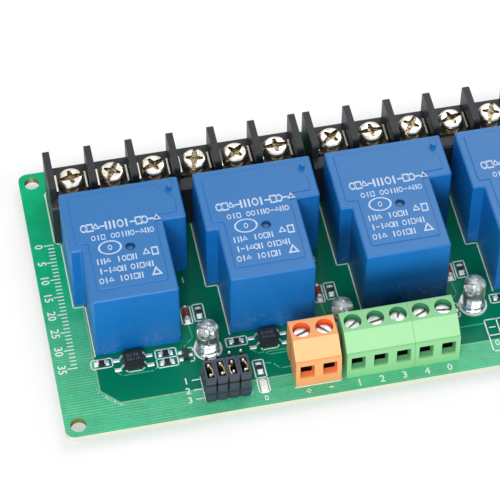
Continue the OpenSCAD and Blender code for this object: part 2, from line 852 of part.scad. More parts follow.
module transistor_wings() {
    for (place = [[180, -sot_pitch / 2], [180, sot_pitch / 2], [0, 0]])
        rotate(place[0]) translate([0, place[1], 0])
            gull_wing(sot_body[0] / 2 - sot_lead[0], sot_span / 2, sot_lead[1], sot_lead[0]);
}

function sot_plan(inset) = rectangle(sot_body[0] - inset, sot_body[1] - inset);

module transistor_bodies() {
    color(plastic_black) for (i = channels)
        translate(on_channel(i, transistor_at)) difference() {
            loft([
                [sot_seat, sot_plan(sot_taper)], [sot_lead[1] + lead_t / 2, sot_plan(0)],
                [sot_body[2], sot_plan(3 * sot_taper)]]);
            transistor_wings();
        }
}

module transistor_leads() {
    color(tin) for (i = channels) translate(on_channel(i, transistor_at)) transistor_wings();
}

// ---- diodes ----

module at_diode(i) {
    translate(on_channel(i, diode_at)) translate([0, 0, diode_d / 2]) rotate([90, 0, 0])
        children();
}

module diode_glass() {
    color(glass_red) for (i = channels) at_diode(i)
        cylinder(h = diode_l - 2 * diode_cap_l, d = diode_d - 0.15, center = true);
}

module diode_caps() {
    color(tin) for (i = channels) at_diode(i) for (side = [-1, 1])
        translate([0, 0, side * (diode_l - diode_cap_l) / 2])
            cylinder(h = diode_cap_l, d = diode_d, center = true);
}

// ---- chip resistors ----

// Centre and turn of each chip resistor
chips = concat(
    [for (i = channels) each [
        [on_channel(i, opto_resistor_at), 0], [on_channel(i, base_resistor_at), 0],
        [on_channel(i, pull_resistor_at), 0], [on_channel(i, lamp_resistor_at), 90]]],
    [[[power_x, power_resistor_y, board_t], 90]]);

module resistor_bodies() {
    core_l = chip_l - 2 * chip_end_t;
    color(plastic_black) for (c = chips) translate(c[0]) rotate(c[1])
        translate([0, 0, chip_end_t]) slab([core_l, chip_w, chip_h - 2 * chip_end_t]);
}

// Tinned ends that wrap over the top and bottom of each chip
module resistor_ends() {
    color(tin) for (c = chips, side = [-1, 1])
        translate(c[0]) rotate(c[1]) translate([side * (chip_l - chip_end) / 2, 0, 0])
            difference() {
                slab([chip_end, chip_w, chip_h]);
                translate([-side * chip_end_t, 0, chip_end_t])
                    slab([chip_end, chip_w + 1, chip_h - 2 * chip_end_t]);
            }
}

module power_lamp() {
    color(lamp_white) translate([power_x, power_lamp_y, board_t]) {
        slab([power_lamp_size[0], power_lamp_size[1], power_lamp_size[2] * 0.45]);
        slab([power_lamp_size[0] - 0.1, power_lamp_size[1] - 1, power_lamp_size[2]]);
    }
}

pcb();
solder(power_tails);  // solder_power
solder(signal_tails);  // solder_signal
relay_case(0);  // relay_case_1
relay_case(1);  // relay_case_2
relay_case(2);  // relay_case_3
relay_case(3);  // relay_case_4
relay_pins();
barrier_housing(0);  // barrier_housing_1
barrier_contacts(0);  // barrier_contacts_1
barrier_plates(0);  // barrier_plates_1
barrier_screws(0);  // barrier_screws_1
barrier_housing(1);  // barrier_housing_2
barrier_contacts(1);  // barrier_contacts_2
barrier_plates(1);  // barrier_plates_2
barrier_screws(1);  // barrier_screws_2
terminal_housing(supply_poles, supply_orange, true, false);  // supply_housing
terminal_cages(supply_poles);  // supply_cages
terminal_screws(supply_poles, [20, -45]);  // supply_screws
terminal_pins(supply_poles);  // supply_pins
terminal_housing(input_a_poles, input_green, true, true);  // input_a_housing
terminal_cages(input_a_poles);  // input_a_cages
terminal_screws(input_a_poles, [35, 12, 70]);  // input_a_screws
terminal_pins(input_a_poles);  // input_a_pins
terminal_housing(input_b_poles, input_green, true, true);  // input_b_housing
terminal_cages(input_b_poles);  // input_b_cages
terminal_screws(input_b_poles, [25, -8]);  // input_b_screws
terminal_pins(input_b_poles);  // input_b_pins
lamp_lens(0);  // lamp_lens_1
lamp_lens(1);  // lamp_lens_2
lamp_lens(2);  // lamp_lens_3
lamp_lens(3);  // lamp_lens_4
lamp_leads(0);  // lamp_leads_1
lamp_leads(1);  // lamp_leads_2
lamp_leads(2);  // lamp_leads_3
lamp_leads(3);  // lamp_leads_4
opto_body(0);  // opto_body_1
opto_body(1);  // opto_body_2
opto_body(2);  // opto_body_3
opto_body(3);  // opto_body_4
opto_leads(0);  // opto_leads_1
opto_leads(1);  // opto_leads_2
opto_leads(2);  // opto_leads_3
opto_leads(3);  // opto_leads_4
transistor_bodies();
transistor_leads();
diode_glass();
diode_caps();
resistor_bodies();
resistor_ends();
power_lamp();
header_insulator();
header_pins();
jumper_cap(0);  // jumper_cap_1
jumper_cap(1);  // jumper_cap_2
jumper_cap(2);  // jumper_cap_3
jumper_cap(3);  // jumper_cap_4
jumper_clips();
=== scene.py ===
"""Looks of the four channel relay module board.

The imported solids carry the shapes. This script dresses them, and adds what is printed,
plated and soldered on the board: legends, solder lands, copper runs under the mask, and
the prints on the relays and optocouplers. Sizes are millimetres until MM.
"""

import logging
import math
from dataclasses import dataclass, replace
from enum import Enum
from typing import ClassVar, Union

import bpy
from mathutils import Matrix, Vector


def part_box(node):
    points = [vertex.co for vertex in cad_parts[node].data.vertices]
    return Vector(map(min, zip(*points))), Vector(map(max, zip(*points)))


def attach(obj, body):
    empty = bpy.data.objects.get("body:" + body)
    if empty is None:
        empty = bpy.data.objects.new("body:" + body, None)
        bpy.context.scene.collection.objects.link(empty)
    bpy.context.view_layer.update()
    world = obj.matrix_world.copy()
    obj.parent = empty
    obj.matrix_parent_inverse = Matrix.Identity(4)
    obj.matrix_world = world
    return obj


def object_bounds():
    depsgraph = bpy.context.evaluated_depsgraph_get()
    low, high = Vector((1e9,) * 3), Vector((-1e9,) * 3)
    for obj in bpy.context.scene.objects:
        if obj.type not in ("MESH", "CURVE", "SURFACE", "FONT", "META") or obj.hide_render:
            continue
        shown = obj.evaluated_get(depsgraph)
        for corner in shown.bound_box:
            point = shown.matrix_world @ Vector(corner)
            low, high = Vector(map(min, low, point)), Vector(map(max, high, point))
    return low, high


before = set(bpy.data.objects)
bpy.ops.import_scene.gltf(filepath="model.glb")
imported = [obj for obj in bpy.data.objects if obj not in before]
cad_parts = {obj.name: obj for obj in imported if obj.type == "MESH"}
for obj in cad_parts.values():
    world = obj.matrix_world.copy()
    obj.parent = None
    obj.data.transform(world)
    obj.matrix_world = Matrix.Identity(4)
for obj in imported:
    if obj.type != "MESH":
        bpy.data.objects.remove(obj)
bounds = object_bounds()

LOG = logging.getLogger("relay_board")
MM = 0.001
BODY = "root"
CHANNELS = 4
PITCH = 30.25  # from channel to channel
BEHIND_TERMINALS = 3  # the channel whose relay stands behind the green terminals
POLE = 5.08  # from pole to pole of a screw terminal
SUPPLY_X = -9.7  # between the supply terminal's poles
INPUT_X = 9.3  # the middle pole of the inputs
BOARD_TOP = 1.6
RELAY_TOP = 21.6
COPPER = 0.012  # how far a copper run stands up under the mask
SIDES = (-1, 1)
CHIP_LAND_X = (0.85, 1.3, 0.3)  # land of a chip part that lies along X
CHIP_LAND_Y = (1.3, 0.85, 0.3)
SHAPE_WIDE = 0.66  # width of a printed shape, as a share of its height
PEAK_WIDE = 0.9  # the same of the triangle
PEN = 0.19  # the same of a stroke
SIDEWAYS = -90.0  # turn of a numeral that is read from the left
WHITE = (1.0, 1.0, 1.0, 1.0)

Colour = tuple[float, float, float]
Size = tuple[float, float, float]
Point = tuple[float, float]
Line = list[Point]
Piece = bpy.types.Object
Parts = list[Piece]
Row = tuple[str, Point, float, float]  # marks, start, step and height of a row of shapes
Material = bpy.types.Material
Options = Union[dict, None]
Value = Union["Wire", float]
Tint = Union["Wire", Colour]


# ---- shader sums ----


class Wire:
    """One shader value that ordinary sums can be written with."""

    def __init__(self, recipe: "Nodes", socket: bpy.types.NodeSocket) -> None:
        """Keeps the socket and the tree that it belongs to."""
        self.recipe = recipe
        self.socket = socket

    def __add__(self, other: Value) -> "Wire":
        """Adds a value."""
        return self.recipe.maths("ADD", self, other)

    def __radd__(self, other: Value) -> "Wire":
        """Adds to a value."""
        return self.recipe.maths("ADD", other, self)

    def __sub__(self, other: Value) -> "Wire":
        """Takes a value away."""
        return self.recipe.maths("SUBTRACT", self, other)

    def __rsub__(self, other: Value) -> "Wire":
        """Takes this away from a value."""
        return self.recipe.maths("SUBTRACT", other, self)

    def __mul__(self, other: Value) -> "Wire":
        """Multiplies by a value."""
        return self.recipe.maths("MULTIPLY", self, other)

    def __rmul__(self, other: Value) -> "Wire":
        """Multiplies a value."""
        return self.recipe.maths("MULTIPLY", other, self)

    def __abs__(self) -> "Wire":
        """The size without the sign."""
        return self.recipe.maths("ABSOLUTE", self)


class Nodes:
    """A node tree, and the steps that trees of the sky and of finishes share."""

    def __init__(self, tree: bpy.types.NodeTree) -> None:
        """Empties the tree of a material or of the world."""
        self.tree = tree
        self.tree.nodes.clear()

    def node(self, kind: str, settings: Options = None, inputs: Options = None) -> bpy.types.Node:
        """Adds any node.

        Args:
            kind: the node's type.
            settings: properties that are set first.
            inputs: a value or a Wire for each socket, by name or place.

        Returns:
            The new node.
        """
        made = self.tree.nodes.new(kind)
        for key, value in (settings or {}).items():
            setattr(made, key, value)
        for key, value in (inputs or {}).items():
            if isinstance(value, Wire):
                self.tree.links.new(value.socket, made.inputs[key])
            else:
                made.inputs[key].default_value = value
        return made

    def wire(
        self, kind: str, settings: Options = None, inputs: Options = None, out: int = 0,
    ) -> Wire:
        """Adds any node, as node does, and takes one of its outputs."""
        return Wire(self, self.node(kind, settings, inputs).outputs[out])

    def maths(self, operation: str, first: Value, second: Value = 0.0) -> Wire:
        """One step of a sum, by the name of the Math node's operation."""
        return self.wire("ShaderNodeMath", {"operation": operation}, {0: first, 1: second})

    def larger(self, first: Value, second: Value) -> Wire:
        """The larger of two values."""
        return self.maths("MAXIMUM", first, second)

    def blend(self, share: Value, first: Tint, second: Tint) -> Wire:
        """Mixes two colours; the share, from 0 to 1, is that of the second."""
        first, second = (c if isinstance(c, Wire) else (*c, 1.0) for c in (first, second))
        return self.wire("ShaderNodeMix", {"data_type": "RGBA"}, {0: share, 6: first, 7: second}, 2)

    def step(self, value: Value, low: float, high: float) -> Wire:
        """A soft step.

        Args:
            value: what is stepped.
            low: where it is 0.
            high: where it is 1, which may be below low.

        Returns:
            The step, from 0 to 1.
        """
        if low > high:
            return 1.0 - self.step(value, high, low)
        smooth = {"interpolation_type": "SMOOTHSTEP"}
        return self.wire("ShaderNodeMapRange", smooth, {0: value, 1: low, 2: high})

    def seen(self) -> Wire:
        """Tells the eye's rays from other light.

        Returns:
            1 where the eye looks directly, in a mirror or through glass, and 0 elsewhere.
        """
        rays = self.node("ShaderNodeLightPath").outputs
        kinds = ("Is Camera Ray", "Is Glossy Ray", "Is Transmission Ray")
        direct, mirrored, through = (Wire(self, rays[kind]) for kind in kinds)
        return self.larger(self.larger(direct, mirrored), through)


class Recipe(Nodes):
    """The node tree of one finish, measured in millimetres on the object's own coordinates."""

    def __init__(self, name: str) -> None:
        """Starts an empty material.

        Args:
            name: the material's name.
        """
        self.material = bpy.data.materials.new(name)
        self.material.use_nodes = True
        super().__init__(self.material.node_tree)
        metres = Wire(self, self.node("ShaderNodeTexCoord").outputs["Object"])
        scaled = {0: metres, "Scale": 1 / MM}
        self.place = self.wire("ShaderNodeVectorMath", {"operation": "SCALE"}, scaled)
        split = self.node("ShaderNodeSeparateXYZ", {}, {0: self.place})
        self.x, self.y, self.z = (Wire(self, split.outputs[k]) for k in range(3))

    def inside(self, value: Value, low: float, high: float, soft: float = 0.05) -> Wire:
        """1 where a value lies between two bounds, with edges that are soft on either side."""
        return self.step(value, low - soft, low + soft) * self.under(value, high, soft)

    def under(self, value: Value, limit: float, soft: float = 0.05) -> Wire:
        """1 where a value is under a limit, with an edge that is soft on either side."""
        return self.step(value, limit + soft, limit - soft)

    def from_axes(self, first: float, pitch: float, y: float) -> tuple[Wire, Wire]:
        """Distances from the nearest of a row of upright axes.

        Args:
            first: X of any of the axes.
            pitch: distance between neighbouring axes.
            y: Y of the row.

        Returns:
            The distance along X, and the distance in the plane.
        """
        away = self.maths("PINGPONG", self.x - first, pitch / 2)
        along = self.y - y
        return away, self.maths("SQRT", away * away + along * along)

    def cloud(self, per_mm: float, detail: float = 2.0, stretch: Size = (1.0, 1.0, 1.0)) -> Wire:
        """Soft random patches.

        Args:
            per_mm: patches in a millimetre.
            detail: octaves of finer patches.
            stretch: scale along x, y and z.

        Returns:
            The patches, about 0.5 on average.
        """
        mapped = self.wire("ShaderNodeMapping", {}, {"Vector": self.place, "Scale": stretch})
        inputs = {"Vector": mapped, "Scale": per_mm, "Detail": detail}
        return self.wire("ShaderNodeTexNoise", {}, inputs)

    def relief(self, height: Value, depth: float, strength: float = 1.0) -> Wire:
        """The surface direction of a height from 0 to 1, where 1 is as deep as depth."""
        inputs = {"Height": height, "Distance": depth * MM, "Strength": strength}
        return self.wire("ShaderNodeBump", {}, inputs)

    def past_edges(self) -> tuple[Wire, Wire]:
        """How far past the board's side and front edges, along X and along Y."""
        return abs(self.x) - bounds[1][0] / MM, abs(self.y) - bounds[1][1] / MM

    def upright(self) -> Wire:
        """How far the flat of the surface faces up or down, from 0 to 1."""
        facing = Wire(self, self.node("ShaderNodeNewGeometry").outputs["True Normal"])
        return abs(self.wire("ShaderNodeSeparateXYZ", {}, {0: facing}, 2))

    def close(self, sockets: dict) -> Material:
        """Ends the tree with the Principled shader, and gives the material."""
        return self.put_out(self.wire("ShaderNodeBsdfPrincipled", {}, sockets))

    def put_out(self, shader: Wire) -> Material:
        """Ends the tree with a shader, and gives the material."""
        self.node("ShaderNodeOutputMaterial", {}, {0: shader})
        return self.material


# ---- finishes ----


def lighter(colour: Colour, share: float) -> Colour:
    """A colour scaled by a share, and kept within 0 and 1."""
    return tuple(min(1.0, c * share) for c in colour)


@dataclass(frozen=True)
class Finish:
    """What every finish has.

    Args:
        name: the material's name.
        slot: the material slot that it belongs to; not used.
        colour: the main colour, linear.
    """

    shelf: ClassVar[dict[str, Material]] = {}

    name: str
    slot: str
    colour: Colour

    def material(self) -> Material:
        """The finish's material, made once.

        Returns:
            The material.
        """
        if self.name not in self.shelf:
            self.shelf[self.name] = self.mix(Recipe(self.name))
        return self.shelf[self.name]

    def mix(self, recipe: Recipe) -> Material:
        """Builds the nodes; each kind of finish has its own."""
        raise NotImplementedError

    def dress(self, *pieces: Piece) -> None:
        """Puts the finish on pieces, in every material slot that they have.

        Args:
            pieces: the pieces to dress.
        """
        for piece in pieces:
            if not piece.material_slots:
                piece.data.materials.append(None)
            for place in piece.material_slots:
                place.material = self.material()


@dataclass(frozen=True)
class Moulded(Finish):
    """Moulded plastic: faint flow patches, a fine spark-eroded grain and soft dust.

    Args:
        rough: the average roughness.
        grain: the grain's depth in millimetres.
        dust: how much pale dust lies on it.
        shine: how strongly its skin mirrors.
        coat: clear gloss over it.
    """

    rough: float = 0.4
    grain: float = 0.012
    dust: float = 0.05
    shine: float = 0.3
    coat: float = 0.0

    def mix(self, recipe: Recipe) -> Material:
        """Patches, dust specks and grain.

        Args:
            recipe: the empty tree.

        Returns:
            The material.
        """
        flow = recipe.cloud(0.12, 3.0)
        fine = recipe.cloud(3.2)
        specks = recipe.step(recipe.cloud(1.7, 3.0), 0.6, 0.74)
        base = recipe.blend(flow, lighter(self.colour, 0.9), lighter(self.colour, 1.1))
        dusty = recipe.blend(specks * self.dust, base, (0.7, 0.7, 0.68))
        return recipe.close({
            "Base Color": self.shade(recipe, dusty),
            "Roughness": self.rough + (fine - 0.5) * 0.12 + (flow - 0.5) * 0.1,
            "Specular IOR Level": self.shine,
            "Normal": recipe.relief(fine, self.grain, 0.6),
            "Coat Weight": self.coat,
            "Coat Roughness": 0.12,
        })

    def shade(self, recipe: Recipe, base: Wire) -> Wire:
        """Changes to the colour, such as painted shade; plain mouldings have none."""
        return base


@dataclass(frozen=True)
class HollowMoulded(Moulded):
    """A screw terminal's plastic, with painted shade in its wells and entries, dark painted shade
    inside its wire chambers, and a painted highlight on its sloping fronts.

    Args:
        deep: colour of the painted shade on the wells' and wire entries' walls, and of the joint
            line.
        pale: colour of the painted highlight on the sloping fronts.
        pole: distance between neighbouring poles.
        first: X of any of its poles.
        depth: Y of the chambers' front and rear ends.
        height: Z of their floor and ceiling.
        half: half their width.
        well: Y of the screw wells' axes.
        well_r: radius of the screw wells, with their walls.
        well_z: Z of the wells' floor and rim.
        entry: Y of the wire entries' lips and rear ends.
        entry_z: Z of the entries' floor and ceiling.
        entry_half: half the entries' width.
        front_z: Z over which the sloping fronts begin.
        seam: X of the joint between two housings in a row, or None.
    """

    deep: Colour = (0.1, 0.1, 0.1)
    pale: Colour = (0.5, 0.5, 0.5)
    pole: float = POLE
    first: float = INPUT_X
    depth: Point = (-32.3, -24.6)
    height: Point = (1.75, 9.2)
    half: float = 2.3
    well: float = -27.05
    well_r: float = 2.005
    well_z: Point = (9.6, 12.5)
    entry: Point = (-33.6, -32.3)
    entry_z: Point = (3.8, 8.3)
    entry_half: float = 1.67
    front_z: Point = (7.0, 8.0)
    seam: float | None = None

    def shade(self, recipe: Recipe, base: Wire) -> Wire:
        """Paints shade in the wells and entries and in the chambers behind their lips, and a
        highlight on the sloping fronts.

        Args:
            recipe: the tree.
            base: the plain colour.

        Returns:
            The colour with its changes.
        """
        away, reach = recipe.from_axes(self.first, self.pole, self.well)
        # Painted shade on the screw wells' walls and in the wire entries.
        well = recipe.under(reach, self.well_r, 0.025) * recipe.inside(recipe.z, *self.well_z)
        lip = recipe.inside(recipe.y, *self.entry) * recipe.inside(recipe.z, *self.entry_z)
        entry = lip * recipe.under(away, self.entry_half) * 0.6
        # Painted shade: the chambers behind the entries' lips are made nearly black.
        hollow = recipe.inside(recipe.y, *self.depth) * recipe.inside(recipe.z, *self.height)
        inner = hollow * recipe.under(away, self.half)
        # Painted highlight: the sloping fronts are made paler.
        slope = recipe.inside(recipe.upright(), 0.3, 0.92) * recipe.step(recipe.z, *self.front_z)
        slope_lit = recipe.blend(slope * 0.6, base, self.pale)
        recess_shaded = recipe.blend(recipe.larger(well, entry), slope_lit, self.deep)
        if self.seam is not None:
            joint = recipe.inside(recipe.x, self.seam - 0.06, self.seam + 0.06, 0.03)
            recess_shaded = recipe.blend(joint * 0.6, recess_shaded, self.deep)
        return recipe.blend(inner, recess_shaded, lighter(self.colour, 0.03))


@dataclass(frozen=True)
class CollaredMoulded(Moulded):
    """A jumper cap's plastic, with a painted shadow line under its collar.

    Args:
        seam: Z of the painted shadow line's lower and upper edge.
    """

    seam: Point = (6.95, 7.65)

    def shade(self, recipe: Recipe, base: Wire) -> Wire:
        """Paints the shadow line on the sides."""
        # Painted shadow under the collar, on the sides only.
        painted_shade = recipe.inside(recipe.z, *self.seam, 0.02) * recipe.step(recipe.upright(), 0.5, 0.2)
        return recipe.blend(painted_shade, base, lighter(self.colour, 0.05))


@dataclass(frozen=True)
class Plated(Finish):
    """Plated or tinned metal with fine draw marks and a dull film.

    Args:
        film: colour of the dull film.
        rough: the average roughness.
        film_share: how much film there is.
        patch: patches of film in a millimetre.
        marks: stretch of the draw marks along x, y and z.
        low: Z up to which it is darkened with painted shade, from just above the board's underside,
            or None.
        recess: Z of the floor of the driver recesses, which get painted shade, or None.
        dirt: colour of the painted shade.
    """

    film: Colour = (0.45, 0.42, 0.36)
    rough: float = 0.25
    film_share: float = 0.35
    patch: float = 0.55
    marks: Size = (1.0, 1.0, 1.0)
    low: float | None = None
    recess: float | None = None
    dirt: Colour = (0.03, 0.026, 0.02)

    def mix(self, recipe: Recipe) -> Material:
        """Draw marks, film patches, and painted shade low down and in the driver recesses.

        Args:
            recipe: the empty tree.

        Returns:
            The material.
        """
        marks = recipe.cloud(2.4, 3.0, self.marks)
        film = recipe.step(recipe.cloud(self.patch, 4.0), 0.38, 0.72)
        base = recipe.blend(film * self.film_share, self.colour, self.film)
        rough = self.rough + film * 0.14 + (marks - 0.5) * 0.16
        if self.low is not None:
            # Painted shade below low.
            dirt = recipe.under(recipe.z, self.low + 0.125, 0.125) * recipe.step(recipe.z, 0.0, 0.5)
            base = recipe.blend(dirt * 0.95, base, self.dirt)
            rough = rough + dirt * 0.25
        if self.recess is not None:
            # Painted shade in the driver recesses: nearly black film, streaked with paler film.
            flat = recipe.upright()
            above = recipe.z - self.recess
            floor = recipe.step(flat, 0.9, 0.97) * recipe.inside(above, -0.1, 0.2)
            walls = recipe.step(flat, 0.15, 0.05) * recipe.step(above, 0.1, 0.2)
            streaks = recipe.step(marks, 0.4, 0.6)
            driver_recess_shade = recipe.blend(streaks, lighter(self.film, 0.2), lighter(self.film, 1.3))
            base = recipe.blend(recipe.larger(floor, walls), base, driver_recess_shade)
        return recipe.close({
            "Base Color": base,
            "Metallic": 1.0,
            "Roughness": rough,
            "Normal": recipe.relief(marks, 0.01, 0.5),
        })


@dataclass(frozen=True)
class SolderMask(Finish):
    """Glossy green mask over laminate, with the hatched copper pour showing through and a painted
    sheen over the pour.

    Args:
        laminate: colour of the cut edges.
        drilled: colour of the hole walls.
        hatch: distance between the hatched pour's lines.
        poured: colour of the mask over the pour.
        glint: colour of the hatch lines, and of the painted sheen on them and on the pour.
        rim: colour of the bright line along the pour's edge.
        frayed: colour of the broken line beside it at the slanted corner.
        pour_left: X of the edge of the hatched pour at the left.
        pour_front: Y of the edge of the hatched pour at the front.
        pour_corner: how far the slanted edge between them stands from their corner.
        shown_y: Y from which the hatch and the painted sheen begin to show, and of their full
            strength.
        thick_x: X over which the painted sheen on the pour grows.
        bold_x: X from which the lines grow bolder, and of their full strength.
    """

    laminate: Colour = (0.72, 0.75, 0.60)
    drilled: Colour = (0.22, 0.20, 0.05)
    hatch: float = 0.7
    poured: Colour = (0.006, 0.46, 0.21)
    glint: Colour = (0.52, 0.80, 0.58)
    rim: Colour = (0.26, 0.58, 0.34)
    frayed: Colour = (0.62, 0.74, 0.64)
    pour_left: float = -57.0
    pour_front: float = -30.6
    pour_corner: float = 3.9
    shown_y: Point = (8.0, -22.0)
    thick_x: Point = (-60.0, 50.0)
    bold_x: Point = (-20.0, -55.0)

    def mix(self, recipe: Recipe) -> Material:
        """Mask, pour, hatch lines, painted sheen and laminate edges.

        Args:
            recipe: the empty tree.

        Returns:
            The material.
        """
        edge = recipe.step(recipe.upright(), 0.7, 0.3)
        weave = recipe.cloud(1.6, 3.0)
        patches = recipe.cloud(0.05, 3.0)
        corner = self.pour_left + self.pour_front + self.pour_corner
        slant = (corner - recipe.x - recipe.y) * math.sqrt(0.5)
        square = recipe.larger(self.pour_left - recipe.x, self.pour_front - recipe.y)
        past = recipe.larger(square, slant)
        pour = recipe.step(past, -0.06, 0.06)
        rim = recipe.inside(past, -0.2, 0.12)
        broken = recipe.step(slant, -0.4, 0.4) * recipe.step(weave, 0.44, 0.52)
        frayed = recipe.inside(past, 0.15, 0.7) * broken
        streaks = recipe.step(recipe.cloud(0.5, 3.0, (0.12, 1.0, 1.0)), 0.4, 0.65)
        wave = recipe.maths("SINE", recipe.y * (2 * math.pi / self.hatch) + weave * 1.5)
        lines = recipe.step(wave, 0.0, 0.9) * pour
        base = recipe.blend(patches, lighter(self.colour, 0.88), lighter(self.colour, 1.12))
        clouds = recipe.cloud(0.3, 4.0)
        mottled = recipe.blend(clouds, lighter(self.poured, 0.7), lighter(self.poured, 1.25))
        poured = recipe.blend(pour, base, mottled)
        # Painted sheen: the pour grows paler towards the right (thick), and it and the hatch lines
        # grow paler towards the front (the step on Y).
        thick = recipe.step(recipe.x, *self.thick_x) * 0.09
        bold = recipe.step(recipe.x, *self.bold_x) * 0.09
        shown = lines * (streaks * 0.14 + 0.02 + bold) + pour * (weave * 0.24 + thick)
        hatched = recipe.blend(shown * recipe.step(recipe.y, *self.shown_y), poured, self.glint)
        rimmed = recipe.blend(rim * (weave * 0.9 + 0.35), hatched, self.rim)
        rimmed = recipe.blend(frayed * 0.8, rimmed, self.frayed)
        layers = recipe.step(recipe.maths("SINE", recipe.z * 16.0), -0.2, 0.9)
        cloth = layers * 0.4 + weave * 0.3
        edges = recipe.blend(cloth, self.laminate, lighter(self.laminate, 0.78))
        outside = recipe.larger(*recipe.past_edges())
        cut = recipe.blend(recipe.step(outside, -1.5, -1.0), self.drilled, edges)
        return recipe.close({
            "Base Color": recipe.blend(edge, rimmed, cut),
            "Roughness": 0.16 + weave * 0.08 + edge * 0.45,
            "Specular IOR Level": 0.06,
            "Normal": recipe.relief(weave * 0.6 + lines * 0.4, 0.02, 0.4),
        })


@dataclass(frozen=True)
class Ink(Finish):
    """Printed ink, thinner in patches so that what is under it shows.

    Args:
        under: colour under the ink.
        wear: how much of the ink is rubbed away.
    """

    under: Colour = (0.0, 0.2, 0.09)
    wear: float = 0.25

    def mix(self, recipe: Recipe) -> Material:
        """Patchy ink with a slightly rough face.

        Args:
            recipe: the empty tree.

        Returns:
            The material.
        """
        patches = recipe.step(recipe.cloud(2.6, 3.0), 0.48, 0.72)
        body = recipe.blend(patches * self.wear, self.colour, self.under)
        return recipe.close({
            "Base Color": body,
            "Roughness": 0.5 + patches * 0.2,
            "Normal": recipe.relief(patches, 0.01, 0.4),
        })


@dataclass(frozen=True)
class Clear(Finish):
    """Clear or tinted resin and glass.

    Args:
        rough: the surface's roughness.
        passing: share of light that passes through.
        ior: how much it bends light.
        gloss: clear gloss over it.
        gloss_ior: how strongly the gloss mirrors.
    """

    rough: float = 0.0
    passing: float = 1.0
    ior: float = 1.5
    gloss: float = 0.0
    gloss_ior: float = 1.8

    def mix(self, recipe: Recipe) -> Material:
        """Clear body with faint flow patches.

        Args:
            recipe: the empty tree.

        Returns:
            The material.
        """
        flow = recipe.cloud(0.7, 2.0, (1.0, 1.0, 0.5))
        return recipe.close({
            "Base Color": recipe.blend(flow, lighter(self.colour, 0.96), self.colour),
            "Roughness": self.rough + flow * 0.02,
            "Transmission Weight": self.passing,
            "IOR": self.ior,
            "Coat Weight": self.gloss,
            "Coat IOR": self.gloss_ior,
            "Coat Roughness": 0.0,
        })


@dataclass(frozen=True)
class RelayMoulded(Moulded):
    """A relay case's plastic: painted shade in its dimple and low on its sides, painted sheen on
    its top faces, and dust low on its sides.

    Args:
        pitch: distance between neighbouring relays.
        first: X of any relay's dimple.
        dimple: Y of the dimples.
        dimple_r: radius of the dimples.
        faded: colour of the painted sheen on the top faces.
        foot: how much painted shade darkens the colour low on the sides.
        foot_z: Z of the upper and lower end of that change.
        dust_z: Z from which dust begins to show, and of its full strength.
        dust_colour: colour of the dust low on the sides.
    """

    pitch: float = PITCH
    first: float = PITCH / 2 - 0.15
    dimple: float = -4.0
    dimple_r: float = 1.1
    faded: Colour = (0.020, 0.172, 0.468)
    foot: float = 0.1
    foot_z: Point = (13.0, 3.0)
    dust_z: Point = (13.0, 3.0)
    dust_colour: Colour = (0.55, 0.68, 0.80)

    def shade(self, recipe: Recipe, base: Wire) -> Wire:
        """Painted shade in the dimple and low on the sides, painted sheen on the top faces, and
        pale dust specks low down.

        Args:
            recipe: the tree.
            base: the plain colour.

        Returns:
            The colour with its changes.
        """
        # Painted shade in a ring inside the dimple.
        reach = recipe.from_axes(self.first, self.pitch, self.dimple)[1]
        ring = recipe.under(reach, self.dimple_r, 0.04) * recipe.step(reach, 0.3, 0.6)
        painted_shade = ring * recipe.inside(recipe.z, RELAY_TOP - 1.0, RELAY_TOP - 0.08, 0.02)
        specks = recipe.step(recipe.cloud(2.2), 0.64, 0.72)
        patches = recipe.step(recipe.cloud(0.25), 0.42, 0.6)
        dust = specks * patches * recipe.step(recipe.z, *self.dust_z) * 0.5
        # Painted sheen: the top faces are made paler and greyer.
        sheened = recipe.blend(recipe.step(recipe.upright(), 0.75, 0.95) * 0.9, base, self.faded)
        # Painted shade, darker towards the bottom of the sides.
        deeper = recipe.step(recipe.z, *self.foot_z) * self.foot
        footed = recipe.blend(deeper, sheened, lighter(self.colour, 0.4))
        dusty = recipe.blend(dust, footed, self.dust_colour)
        return recipe.blend(painted_shade * 0.8, dusty, lighter(self.colour, 0.1))


